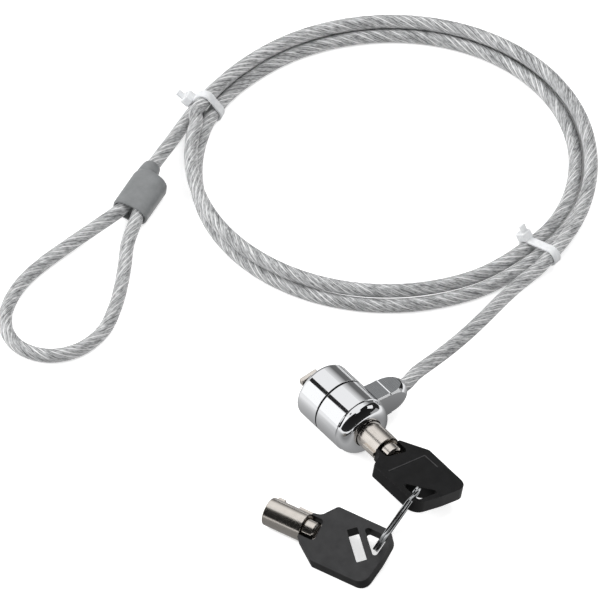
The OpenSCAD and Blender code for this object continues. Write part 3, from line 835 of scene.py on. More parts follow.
@dataclass
class Coil:
    """The cable's coil: in along the table, then one layer up and out again."""

    centre: Point2 = (-70.6, 83.0)
    radius: float = 66.7
    diameter: float = 4.5
    gap: float = 0.45
    start: float = 216.9
    turned: float = 926.0
    flat: float = 554.0
    climb: float = 166.0
    groove: float = 120.0
    outer: float = 27.0
    flare: float = 2.1
    flare_turned: float = 19.0
    oval: float = 1.05
    oval_dir: float = 72.1
    settle: float = 0.42
    tie_angles: Point2 = (209.4, 12.6)
    tie_lift: float = 1.3 * (0.8 + 0.15) + 0.05
    lift_span: float = 24.0

    @property
    def pitch(self) -> float:
        """Distance between neighbouring strands."""
        return self.diameter + self.gap

    def spiral(self, turned: float) -> float:
        """Radius of the layer on the table."""
        flare = self.flare * max(0.0, 1 - turned / self.flare_turned) ** 2
        return self.radius - self.pitch * turned / TURN + flare

    def section(self, turned: float) -> Point2:
        """Radius and height above the table layer after a turn of some degrees."""
        rise = self.pitch - self.settle
        if turned <= self.flat:
            return self.spiral(turned), 0.0
        if turned <= self.flat + self.climb:
            angle = math.radians(self.groove * (turned - self.flat) / self.climb)
            return self.spiral(turned - TURN) - self.pitch * math.cos(angle), rise * math.sin(angle)
        share = ((turned - 2 * TURN) / (self.turned - 2 * TURN)) ** 5
        angle = math.radians(self.groove + (self.outer - self.groove) * share)
        return self.spiral(turned - 2 * TURN) + self.pitch * math.cos(angle), rise * math.sin(angle)

    def lift(self, angle: float) -> float:
        """Height that the ties' straps raise the strands by."""
        heights = [0.0]
        for tie in self.tie_angles:
            off = abs((angle - tie + 2.5 * TURN) % TURN - TURN / 2)
            if off < self.lift_span:
                heights.append(math.cos(math.radians(90 * off / self.lift_span)) ** 2)
        return self.tie_lift * max(heights)

    def point(self, turned: float) -> Vector:
        """Centre of the cable after a turn of some degrees."""
        angle = self.start - turned
        radius, height = self.section(turned)
        radius += self.oval * math.cos(math.radians(2 * (angle - self.oval_dir)))
        a = math.radians(angle)
        x, y = self.centre[0] + radius * math.cos(a), self.centre[1] + radius * math.sin(a)
        return on_table((x, y, self.diameter / 2 + height + self.lift(angle)))

    def path(self, step: float = 4.0) -> list[Vector]:
        """Points from the coil's start to its end."""
        count = round(self.turned / step)
        return [self.point(self.turned * i / count) for i in range(count + 1)]


@dataclass
class FerruleSeat:
    """Where the ferrule lies, and how far its pieces reach."""

    at: Point2 = (-104.0, 2.4)
    yaw: float = 116.0
    roll: float = 7.5
    width: float = 12.2
    thick: float = 7.8
    length: float = 17.4
    neck: float = 4.4
    neck_d: float = 6.2
    chamfer: float = 2.0
    strand_y: float = 2.525
    crimp_x: float = 2.4
    crimp_end_x: float = 12.4

    @property
    def height(self) -> float:
        """Height of the ferrule's middle above the table."""
        roll = math.radians(self.roll)
        return (self.width / 2 - self.chamfer) * math.sin(roll) + self.thick / 2 * math.cos(roll)

    @property
    def place(self) -> Matrix:
        """The ferrule's own frame: X from its mouth to its neck, Y across its strands."""
        turn = rotated(self.yaw, "Z") @ rotated(self.roll, "X")
        return Matrix.Translation(on_table((*self.at, self.height))) @ turn

    def inside(self, x: float, y: float) -> Vector:
        """A point in the ferrule's middle plane."""
        return self.place @ Vector((x, y, 0))


@dataclass
class Cable:
    """The whole coated cable, from the stop in the lug to the closed eye."""

    shop: Workshop
    coil: Coil
    seat: FerruleSeat
    lug_x: float = 15.6
    lug_reach: float = 21.5
    inner_y: float = 14.0
    diameter: float = 4.5
    lay: float = 27.0
    sides: int = 20
    step: float = 1.7

    def route(self) -> list[Vector]:
        """Centreline of the cable.

        Returns:
            Evenly spaced points from the lug to the ferrule's second strand.
        """
        coil = self.coil.path()
        tail = (coil[-1] - coil[-2]).normalized() * self.diameter
        head = (coil[0] - coil[1]).normalized() * self.diameter
        seat = self.seat
        points = [Vector((self.lug_x, y, 0)) for y in (self.inner_y, self.lug_reach - 2, self.lug_reach + 1)]
        points += [on_table(p) for p in LOCK_LEAD]
        points += [coil[-1] + tail, *reversed(coil), coil[0] + head]
        points += [on_table(p) for p in FERRULE_LEAD]
        inner = (seat.length + seat.neck, seat.crimp_end_x, seat.crimp_x)
        points += [seat.inside(x, seat.strand_y) for x in inner]
        mouth_y = seat.strand_y + 0.4
        points += [seat.inside(0, mouth_y), *(on_table(p) for p in EYE), seat.inside(0, -mouth_y)]
        points += [seat.inside(x, -seat.strand_y) for x in (seat.crimp_x, seat.crimp_end_x)]
        return resample(points, self.step)

    def skin(self, path: Sequence[Vector]) -> Mesh:
        """Tube round a path, with a UV map of lays along it and turns round it.

        Args:
            path: Centreline.

        Returns:
            The closed tube.
        """
        bm = bmesh.new()
        station = bm.verts.layers.float.new("station")
        side = bm.verts.layers.int.new("side")
        up = Vector((0, 0, 1))
        walked, previous, ends = 0.0, None, []
        for i, centre in enumerate(path):
            ahead = (path[min(i + 1, len(path) - 1)] - path[max(i - 1, 0)]).normalized()
            up = (up - ahead * up.dot(ahead)).normalized()
            across = up.cross(ahead)
            turn = Matrix((across, up, ahead)).transposed().to_4x4()
            place = Matrix.Translation(centre) @ turn
            form = {"segments": self.sides, "radius": self.diameter / 2, "matrix": place}
            ring = bmesh.ops.create_circle(bm, cap_ends=False, **form)["verts"]
            walked += (centre - path[i - 1]).length if i else 0.0
            for k, vert in enumerate(ring):
                vert[station], vert[side] = walked, k
            edges = list({e for v in ring for e in v.link_edges})
            if previous:
                bmesh.ops.bridge_loops(bm, edges=previous + edges)
            else:
                ends = edges
            previous = edges
        bmesh.ops.holes_fill(bm, edges=ends, sides=0)
        bmesh.ops.holes_fill(bm, edges=previous, sides=0)
        bmesh.ops.recalc_face_normals(bm, faces=bm.faces[:])
        uv = bm.loops.layers.uv.new("lay")
        for face in bm.faces:
            places = [loop.vert[side] for loop in face.loops]
            wraps = max(places) - min(places) > self.sides // 2
            for loop, place in zip(face.loops, places):
                turns = place + (self.sides if wraps and place < self.sides // 2 else 0)
                loop[uv].uv = (loop.vert[station] / self.lay, turns / self.sides)
        return bm

    def build(self, with_pieces: Sequence[Any]) -> Piece:
        """Args:
            with_pieces: Pieces on the cable; not used.

        Returns:
            The cable.
        """
        path = self.route()
        nodes = ("lock_lead", "cable_coil", "ferrule_lead", "eye_loop")
        skin = self.skin(path)
        piece = self.shop.finish(skin, "coated_cable", Slot.CABLE, Body.LOCK, nodes, smooth=60.0, weigh=False)
        return piece


@dataclass
class Ferrule:
    """The grey cover over the crimp that closes the eye."""

    shop: Workshop
    seat: FerruleSeat
    wall: float = 0.75
    mouth_depth: float = 2.3
    points: int = 48

    def ring(self, x: float, width: float, thick: float, corner: float, y: float = 0.0) -> list[Vector]:
        """Rounded rectangle across the ferrule.

        Args:
            x: Distance from the mouth.
            width: Its size across the strands.
            thick: Its size up and down.
            corner: Radius of its corners.
            y: Offset of its middle.

        Returns:
            Points at even angles round the middle.
        """
        loop = []
        half_w, half_t = width / 2 - corner, thick / 2 - corner
        for k in range(self.points):
            angle = 2 * math.pi * (k + 0.5) / self.points
            c, s = math.cos(angle), math.sin(angle)
            exponent = 2 + 3.2 * (half_w + half_t) / (width + thick) * (1 if half_t > 0.05 else 0.35)
            grow = (abs(c) ** exponent + abs(s) ** exponent) ** (-1 / exponent)
            loop.append(Vector((x, y + width / 2 * c * grow, thick / 2 * s * grow)))
        return loop

    def build(self) -> Piece:
        """Make the cover."""
        s = self.seat
        w, t, c, end, d = s.width, s.thick, s.chamfer, s.length, s.neck_d
        mouth_w = w - 2 * self.wall
        tip = end + s.neck
        rings = [
            (self.mouth_depth, mouth_w, 6.0, 2.8), (0.35, mouth_w, 6.0, 2.8), (0.0, mouth_w + 0.3, 6.3, 2.8),
            (0.05, w - 0.7, t - 0.6, c), (0.5, w, t, c), (end - 3.6, w, t, c), (end - 2.7, w, t, c),
            (end - 1.7, w - 0.7, t - 0.1, c + 0.2, 0.05), (end - 0.9, w - 2.2, t - 0.5, c + 0.4, 0.3),
            (end - 0.35, w - 4.0, t - 0.9, c + 0.7, 1.2),
        ]
        necks = [
            (end + 0.1, d + 0.5, 3.2), (tip - 1.2, d, 3.05), (tip - 0.3, d - 0.5, 2.8), (tip, d - 1.2, 2.5),
            (tip - 0.8, 4.6, 2.3),
        ]
        rings += [(x, size, size, corner, s.strand_y) for x, size, corner in necks]
        skin = loft([self.ring(*ring) for ring in rings])
        settings = {"replaces": ("ferrule_cover",), "place": s.place, "smooth": 50.0}
        return self.shop.finish(skin, "ferrule_cover_skin", Slot.FERRULE, Body.LOCK, **settings)


@dataclass
class CableTie:
    """One nylon tie round the strands of the coil."""

    shop: Workshop
    coil: Coil
    name: str
    node: str
    angle: float
    head_over: int
    head_turn: float
    strap_w: float = 2.9
    strap_t: float = 0.8
    strap_gap: float = 0.12
    head: float = 4.0
    head_t: float = 2.6
    tail: float = 3.0
    tail_t: float = 0.9
    tail_x: float = 0.9

    def strands(self) -> list[Point2]:
        """Strands under the tie, as (outwards, up) from the outer one."""
        turned = self.coil.start - self.angle
        home = self.coil.point(turned)
        out = Vector((math.cos(math.radians(self.angle)), math.sin(math.radians(self.angle)), 0))
        spots = [self.coil.point(turned + TURN * k) - home for k in range(3)]
        return [(spot.dot(out), spot.z) for spot in spots]

    def hull(self, radius: float) -> list[Point2]:
        """Outline of a band stretched round the strands.

        Args:
            radius: Distance of the band from a strand's centre.

        Returns:
            Points of the closed band.
        """
        bm = bmesh.new()
        for x, z in self.strands():
            bmesh.ops.create_circle(bm, segments=40, radius=radius, matrix=Matrix.Translation((x, z, 0)))
        points = [(v.co.x, v.co.y) for v in bm.verts]
        bm.free()
        return convex(points)

    def build(self) -> Piece:
        """Make the strap, its head and its cut tail."""
        radius = self.coil.diameter / 2 + self.strap_gap
        inner, outer = self.hull(radius), self.hull(radius + self.strap_t)
        strap = plate(outer, [inner], -self.strap_w / 2, self.strap_w / 2)
        soften(strap, 0.18, angle=60, segments=2)
        hub = self.strands()[self.head_over]
        reach = radius + self.strap_t
        box = block((self.head, self.head_t + 0.5, self.head), (0, reach + self.head_t / 2 - 0.3, 0), 0.55, 4)
        slot = block((2.2, 0.5, self.head - 1.4), (0, reach + self.head_t - 0.02, 0), 0.15, 2)
        tail_y = reach + self.head_t + self.tail / 2 - 0.6
        tail = block((self.tail_t, self.tail, self.strap_w - 0.5), (self.tail_x, tail_y, 0), 0.2, 2)
        knob = join(box, slot, tail)
        turn = Matrix.Translation((hub[0], hub[1], 0)) @ rotated(self.head_turn - 90, "Z")
        bmesh.ops.transform(knob, matrix=turn, verts=knob.verts[:])
        whole = join(strap, knob)
        home = self.coil.point(self.coil.start - self.angle)
        out = math.radians(self.angle)
        place = Matrix.Translation(home) @ Matrix.Rotation(out, 4, "Z") @ Matrix.Rotation(math.pi / 2, 4, "X")
        return self.shop.finish(whole, self.name, Slot.TIE, Body.LOCK, (self.node,), place=place)


def convex(points: Sequence[Point2]) -> list[Point2]:
    """Convex outline round points, anticlockwise."""
    ordered = sorted(set(points))

    def bend(a: Point2, b: Point2, c: Point2) -> float:
        """How far the way from a over b to c turns left."""
        return (b[0] - a[0]) * (c[1] - a[1]) - (b[1] - a[1]) * (c[0] - a[0])

    def half(row: Sequence[Point2]) -> list[Point2]:
        """One side of the outline."""
        chain: list[Point2] = []
        for p in row:
            while len(chain) > 1 and bend(chain[-2], chain[-1], p) <= 1e-9:
                chain.pop()
            chain.append(p)
        return chain[:-1]

    return half(ordered) + half(ordered[::-1])


# ---- Lock body ----


@dataclass
class LockBody:
    """Chrome collar and shell, their seam, and the cable lug."""

    shop: Workshop
    radius: float = 10.0
    collar_x: float = 0.3
    seam_x: float = 10.3
    seam_w: float = 0.55
    seam_depth: float = 0.5
    key_face_x: float = 25.6
    nose_l: float = 3.8
    key_wall: float = 1.0
    sleeve_r: float = 7.3
    keyhole_r: float = 5.0
    neck_r: float = 1.35
    pad_in: float = 4.9
    pad_out: float = 8.1
    pad_seat: float = 0.6
    bore_floor_x: float = 2.4
    lug_x: float = 15.6
    lug_w: float = 8.2
    lug_h: float = 9.2
    lug_reach: float = 21.5
    lug_tip_l: float = 7.6
    lug_end_r: float = 2.65
    lug_draft: float = 4.0
    lug_step: float = 0.25
    lug_soft: float = 0.35
    lug_bead: float = 0.2
    cable_r: float = 2.25

    def collar(self) -> Piece:
        """Front collar with its rounded rim and the pad's seat."""
        x0, x1, r = self.collar_x, self.seam_x, self.radius
        profile = filleted(
            [
                (self.bore_floor_x, self.neck_r, 0), (x0, self.neck_r, 0.15), (x0, self.pad_in, 0.1),
                (x0 + self.pad_seat, self.pad_in, 0), (x0 + self.pad_seat, self.pad_out, 0),
                (x0, self.pad_out, 0.12),
                (x0, r, 1.4), (x1, r, 0.14), (x1, self.sleeve_r, 0), (self.bore_floor_x, self.sleeve_r, 0),
            ],
            steps=7,
        )
        shell = self.paint_groove_shade(lathe(profile), x1 - 0.02, x1 + 0.02)
        return self.chromed(shell, "collar_shell", "front_collar", self.shop.finishes.groove)

    def chromed(self, bm: Mesh, name: str, node: str, *coats: Any) -> Piece:
        """Finish a chrome piece of the body, with further finishes by the faces' material number from 1."""
        return self.shop.finish(bm, name, Slot.CHROME, Body.LOCK, (node,), smooth=30.0, coats=(None, *coats))

    def paint_groove_shade(self, bm: Mesh, x0: float, x1: float) -> Mesh:
        """Mark the faces of the seam's groove, between two places along the axis, for their painted shade:
        near-black for the shade in its depth.
        """
        for face in bm.faces:
            spots = [v.co for v in face.verts]
            if all(x0 <= p.x <= x1 and math.hypot(p.y, p.z) > self.sleeve_r - 0.1 for p in spots):
                face.material_index = 1
        return bm

    def pad(self) -> Piece:
        """Rubber pad that meets the computer's case."""
        x1 = self.collar_x + self.pad_seat
        inner, outer = self.pad_in, self.pad_out
        corners = [(0, inner, 0.25), (0, outer, 0.25), (x1, outer, 0.05), (x1, inner, 0.05)]
        profile = filleted(corners, steps=4)
        return self.shop.finish(lathe(profile), "pad_ring", Slot.RUBBER, Body.LOCK, ("face_pad",))

    def lug_ring(self, y: float) -> list[Vector]:
        """Section across the lug: a drafted block whose corners the tip's dome cuts off.

        Args:
            y: Distance from the lock's axis.

        Returns:
            Points of the section at even steps of its outline.
        """
        root = self.lug_reach - self.lug_tip_l
        tip = y > root
        half_w, step = self.lug_w / 2, self.lug_step
        bead = self.lug_bead if root - 0.1 < y < root + 0.01 else 0.0
        draft = (root - y) * math.tan(math.radians(self.lug_draft))
        half_h = self.lug_h / 2 - (step if tip else 0.0) + draft + bead
        radius = math.hypot(half_w, half_h) - self.lug_soft
        if tip:
            corner = math.hypot(half_w, self.lug_h / 2 - step) - self.lug_soft
            dome_l = self.lug_tip_l / math.sqrt(1 - (self.lug_end_r / corner) ** 2)
            radius = corner * math.sqrt(1 - ((y - root) / dome_l) ** 2)
        points = []
        for quarter in range(4):
            far, high = (half_w, half_h) if quarter % 2 == 0 else (half_h, half_w)
            low = math.acos(min(1.0, far / radius))
            top = math.pi / 2 - math.acos(min(1.0, high / radius))
            if low > top:
                low = top = math.atan2(high, far)
            marks = [low * k / 4 for k in range(4)] + [low + (top - low) * k / 4 for k in range(5)]
            marks += [top + (math.pi / 2 - top) * k / 4 for k in range(1, 4)]
            for angle in marks:
                reach = min(radius, far / max(math.cos(angle), 1e-6), high / max(math.sin(angle), 1e-6))
                spot = Vector((reach * math.cos(angle), reach * math.sin(angle)))
                place = Matrix.Rotation(quarter * math.pi / 2, 2) @ spot
                points.append(Vector((self.lug_x + place.x, y, place.y)))
        return points

    def lug(self) -> Mesh:
        """Lug that holds the cable's stop, with a step at the root of its domed tip."""
        root, reach = self.lug_reach - self.lug_tip_l, self.lug_reach
        bore = self.cable_r + 0.2
        stations = [5.0, 9.0, root - 0.34, root - 0.08, root, root + 0.03, root + 0.5]
        stations += [root + self.lug_tip_l * math.sin(math.radians(a)) for a in range(12, 85, 6)]
        sections = [self.lug_ring(y) for y in stations]
        middle = Vector((self.lug_x, reach, 0))
        end, lip = self.lug_end_r, reach - 0.08
        rims = ((end - 0.02, lip), (end - 0.1, reach), (bore + 0.06, reach), (bore, lip), (bore, reach - 6))
        for radius, y in rims:
            flat = [Vector((p.x - middle.x, 0, p.z)).normalized() * radius for p in sections[-1]]
            sections.append([Vector((middle.x + p.x, y, p.z)) for p in flat])
        bm = loft(sections, cap_first=True, cap_last=False)
        # Flat sides take the satin lug finish; the rounded corners between them take the painted highlight.
        for face in bm.faces:
            up = abs(face.normal.z)
            corner = 0.3 < up <= 0.93 and abs(face.normal.y) < 0.3
            face.material_index = 1 if up > 0.93 else 2 if corner else 0
        return bm

    def shell(self) -> Piece:
        """Rear shell with seam land, step, rounded end and keyhole, and the lug on its side."""
        x0, xk, r = self.seam_x, self.key_face_x, self.radius
        land = r - self.seam_depth
        nose = xk - self.nose_l
        step = nose - 1.2
        band = r - self.seam_depth * 0.8
        end = self.keyhole_r + 0.9
        arc = [
            (nose + self.nose_l * math.sin(math.radians(a)), end + (band - end) * math.cos(math.radians(a)))
            for a in range(0, 91, 6)
        ]
        x1, hole = x0 + self.seam_w, self.keyhole_r
        profile = [
            (x0, self.sleeve_r), (x0, land), (x1, land), (x1, r - 0.16),
            (x1 + 0.05, r - 0.05), (x1 + 0.16, r),
            (step, r), (step + 0.1, r - 0.04), (step + 0.16, r - 0.14), (step + 0.28, band + 0.05),
            (step + 0.5, band), *arc, (xk - 0.02, hole + 0.25), (xk - 0.12, hole + 0.06), (xk - 0.3, hole),
            (xk - self.key_wall, hole), (xk - self.key_wall, self.sleeve_r),
        ]
        shell = self.paint_groove_shade(lathe(profile, segments=192), x0 - 0.01, x1 + 0.01)
        done = self.shop.finishes
        self.chromed(self.lug(), "cable_lug", "rear_shell", done.lug, done.lug_corner_highlight)
        return self.chromed(shell, "rear_shell_skin", "rear_shell", done.groove)

    def build(self) -> None:
        """Make the body's pieces."""
        self.collar()
        self.pad()
        self.shell()


@dataclass
class TBar:
    """The bar that turns behind the slot, and the two posts beside it."""

    shop: Workshop
    length: float = 6.8
    height: float = 2.6
    thick: float = 1.8
    gap: float = 4.7
    neck_r: float = 1.25
    tail_r: float = 1.0
    shaft_x: float = 2.5
    tail_l: float = 4.0
    play: float = 6.0
    post_reach: float = 2.2
    post_w: float = 1.4
    post_t: float = 2.4
    post_y: float = 1.95
    post_back: float = 2.4

    def build(self) -> None:
        """Make the bar and the posts."""
        half = self.length / 2
        rise = self.height / 2
        swing = math.asin(rise / half)
        ends = [(half * math.cos(a), half * math.sin(a)) for a in (swing * (i / 4 - 1) for i in range(9))]
        outline = [*ends, *((-y, -z) for y, z in ends)]
        head = plate(outline, [], -self.gap - self.thick, -self.gap)
        soften(head, 0.42, angle=40, segments=4)
        stand = Matrix(((0, 0, 1, 0), (1, 0, 0, 0), (0, 1, 0, 0), (0, 0, 0, 1)))
        bmesh.ops.transform(head, matrix=rotated(self.play, "X") @ stand, verts=head.verts[:])
        neck = lathe(
            filleted(
                [
                    (-self.gap - 0.4, 0, 0), (-self.gap - 0.4, self.neck_r + 0.25, 0.1),
                    (-self.gap + 0.25, self.neck_r, 0.3),
                    (self.shaft_x, self.neck_r, 0.1), (self.shaft_x, self.tail_r, 0),
                    (self.shaft_x + self.tail_l, self.tail_r, 0.2), (self.shaft_x + self.tail_l, 0, 0),
                ],
                closed=False,
            ),
            closed=False,
            segments=48,
        )
        self.shop.finish(join(head, neck), "t_bar_piece", Slot.NICKEL, Body.SPINDLE, ("t_bar",))
        size = (self.post_reach + self.post_back, self.post_w, self.post_t)
        x, y = (self.post_back - self.post_reach) / 2, self.post_y + self.post_w / 2
        posts = [block(size, (x, side * y, 0), 0.25, 3) for side in (-1, 1)]
        self.shop.finish(join(*posts), "slot_posts", Slot.NICKEL, Body.LOCK, ("locator_posts",))


# ---- Keys ----


@dataclass
class TubularKey:
    """A tubular key: plated barrel with two tabs, and a flat moulded head."""

    shop: Workshop
    label: str
    body: Body
    plastic: Slot
    place: Matrix
    upper: int
    slotted: bool
    barrel_r: float = 4.75
    barrel_l: float = 14.0
    wall: float = 1.2
    tab_h: float = 0.9
    tab_w: float = 1.5
    tab_l: float = 2.6
    tab_root: float = 0.6
    rib_x: float = 8.4
    tongue_l: float = 4.2
    tongue_r: float = 3.45
    tang_l: float = 8.0
    tang_w: float = 6.0
    tang_t: float = 1.4
    head_l: float = 28.8
    head_w: float = 21.3
    head_t: float = 4.4
    slot_l: float = 12.8
    slot_w: float = 3.5
    window_w: float = 8.2

    def barrel(self) -> Piece:
        """Barrel with its bore, tabs, tongue and the tang that the head is moulded on."""
        r, length = self.barrel_r, self.barrel_l
        bore = r - self.wall
        tip = length + self.tongue_l
        profile = filleted(
            [
                (length - self.wall, 0, 0), (length - self.wall, bore, 0.2), (0, bore, 0.12), (0, r, 0.3),
                (length, r, 0.16),
                (length, r - 0.55, 0.1), (length - 1.0, r - 0.65, 0), (length - 1.0, self.tongue_r, 0),
                (length + 0.2, self.tongue_r, 0.1),
                (tip - 0.55, 3.4, 0.08), (tip, 2.85, 0.08), (tip, 0, 0),
            ],
            closed=False,
            steps=4,
        )
        tube = lathe(profile, closed=False, segments=112)
        height = r + self.tab_h
        middle = (height + r - self.tab_root) / 2
        rise = height - r + self.tab_root
        tabs = [
            block((self.tab_l, rise, self.tab_w), (0.5 + self.tab_l / 2, middle, 0), 0.16, 3),
            block((length - self.rib_x, rise, self.tab_w), ((length + self.rib_x) / 2, middle, 0), 0.16, 3),
        ]
        tang_l = self.tang_l + 0.5
        tang = block((tang_l, self.tang_w, self.tang_t), (tip - 0.5 + tang_l / 2, 0, 0), 0.12, 2)
        boss = block((1.5, 3.0, 4.6), (tip - 1.15, 0, 0), 0.25, 3)
        whole = join(tube, *tabs, tang, boss)
        name = self.label + "_barrel"
        settings = {"place": self.place, "smooth": 32.0}
        return self.shop.finish(whole, name + "_piece", Slot.NICKEL, self.body, (name,), **settings)

    def outline(self) -> list[Point2]:
        """Outline of the head."""
        w, x0, x1 = self.head_w / 2, self.barrel_l, self.barrel_l + self.head_l
        return filleted(
            [
                (x0, 4.9, 0.3), (x0 + 2.8, 5.4, 3), (x0 + 6.1, w, 1.6), (x1 - 0.8, w, 4.2),
                (x1, 0, 20), (x1 - 0.2, -w, 3.6), (x0 + 8.3, -w, 1.4), (x0, -5, 0.4),
            ],
            steps=8,
        )

    def openings(self) -> list[list[Point2]]:
        """The ring's hole and, on the slotted head, its long slot."""
        y, x = self.head_w / 2 - 2.4, self.barrel_l + self.head_l - 2.2
        holes = [filleted([(x - 9.6, y, 0.9), (x, y, 0.9), (x, y - 9.2, 0.9)], steps=6)]
        if self.slotted:
            centre = Vector((self.barrel_l + self.head_l - 9.9, 1.1))
            turn = Matrix.Rotation(math.radians(-44), 2)
            corners = []
            for a, b in ((-1, -1), (1, -1), (1, 1), (-1, 1)):
                p = centre + turn @ Vector((a * self.slot_l / 2, b * self.slot_w / 2))
                corners.append((p.x, p.y, 0.25))
            holes.append(filleted(corners, steps=3))
        return holes

    def head(self) -> Piece:
        """Flat head, open at the front round the barrel's tongue."""
        x0, half = self.barrel_l, self.window_w / 2
        corners = [(-2, half, 0.2), (-2, -half, 0.2), (4.6, -half, 0.8), (5.6, -3.2, 0.8), (4.7, half, 1.2)]
        window = filleted([(x0 + x, y, radius) for x, y, radius in corners])
        loop = self.outline()
        front = [p for p in loop if p[0] > x0 + 0.05 or abs(p[1]) > 4.6]
        start = next(i for i, p in enumerate(front) if p[1] > 0 and front[i - 1][1] < 0 and p[0] < x0 + 1)
        front = front[start:] + front[:start]
        mouth = [(x0, -half), *(p for p in window if p[0] >= x0 + 0.3), (x0, half)]
        bm = plate(front + mouth, self.openings(), -self.head_t / 2, self.head_t / 2)
        soften(bm, 0.42, angle=55, segments=4)
        name = self.label + "_head"
        # Side walls take material 3 and bevels material 2; these carry the painted highlight or painted shade
        # chosen below.
        for face in bm.faces:
            up = abs(face.normal.z)
            face.material_index = 3 if up < 0.3 else 2 if up < 0.96 else 0
        whole = join(bm, *self.marks())
        done = self.shop.finishes
        # Painted light on the heads' edges: the first key's bevels get a painted highlight, the second key's
        # bevels and side walls painted shade.
        edges = (done.side, done.side) if self.slotted else (done.key_edge_highlight, None)
        settings = {"place": self.place, "smooth": 35.0, "coats": (None, done.line_highlight, *edges)}
        return self.shop.finish(whole, name + "_piece", self.plastic, self.body, (name,), **settings)

    def marks(self) -> list[Mesh]:
        """Moulded bracket line of the plain head, on its upper face, coloured lighter as a painted highlight.
        """
        if self.slotted:
            return []
        level = self.upper * self.head_t / 2
        bars = []
        line = [Vector((24.7, 8.0)), Vector((23.9, -7.5)), Vector((30.3, -7.7))]
        for a, b in zip(line, line[1:]):
            span = b - a
            bm = block((span.length + 0.3, 0.36, 0.36), (0, 0, 0), 0.12, 2)
            for face in bm.faces:
                face.material_index = 1
            spot = (a + b) / 2
            turn = Matrix.Rotation(math.atan2(span.y, span.x), 4, "Z")
            place = Matrix.Translation((spot.x, spot.y, level)) @ turn
            bmesh.ops.transform(bm, matrix=place, verts=bm.verts[:])
            bars.append(bm)
        return bars

    def build(self) -> None:
        """Make the key's pieces."""
        self.barrel()
        self.head()


@dataclass
class SplitRing:
    """Two flat turns of sprung wire that join the keys."""

    shop: Workshop
    radius: float = 12.5
    wire: float = 1.3
    turn_t: float = 0.95
    lean: float = 67.3
    yaw: float = 204.6
    at: Point2 = (62.65, -17.05)
    open_at: float = 190.0
    open_l: float = 5.0

    def build(self) -> Piece:
        """Make the ring as one wire of nearly two turns."""
        middle = self.radius - self.wire / 2
        opening = math.degrees(self.open_l / self.radius)
        total = 2 * TURN - opening
        steps = 220
        sections = []
        w, t = self.wire / 2, self.turn_t / 2 - 0.02
        section = filleted([(a * w, b * t, 0.28) for a, b in ((-1, -1), (1, -1), (1, 1), (-1, 1))], steps=3)
        for i in range(steps + 1):
            turned = total * i / steps
            angle = math.radians(self.open_at + opening / 2 + turned)
            over = (turned - (total / 2 - 22)) / 44
            share = min(1.0, max(0.0, over))
            share = share * share * (3 - 2 * share)
            level = (0.5 - share) * self.turn_t
            out = Vector((math.cos(angle), math.sin(angle), 0))
            sections.append([out * (middle + a) + Vector((0, 0, level + b)) for a, b in section])
        bm = loft(sections)
        lean = math.radians(self.lean)
        height = self.radius * math.sin(lean) + self.turn_t * math.cos(lean) + 0.05
        turn = rotated(self.yaw, "Z") @ Matrix.Rotation(lean, 4, "Y")
        place = Matrix.Translation(on_table((*self.at, height))) @ turn
        settings = {"place": place, "smooth": 40.0}
        return self.shop.finish(bm, "ring_wire", Slot.RING, Body.RING, ("split_ring",), **settings)


# ---- Studio ----


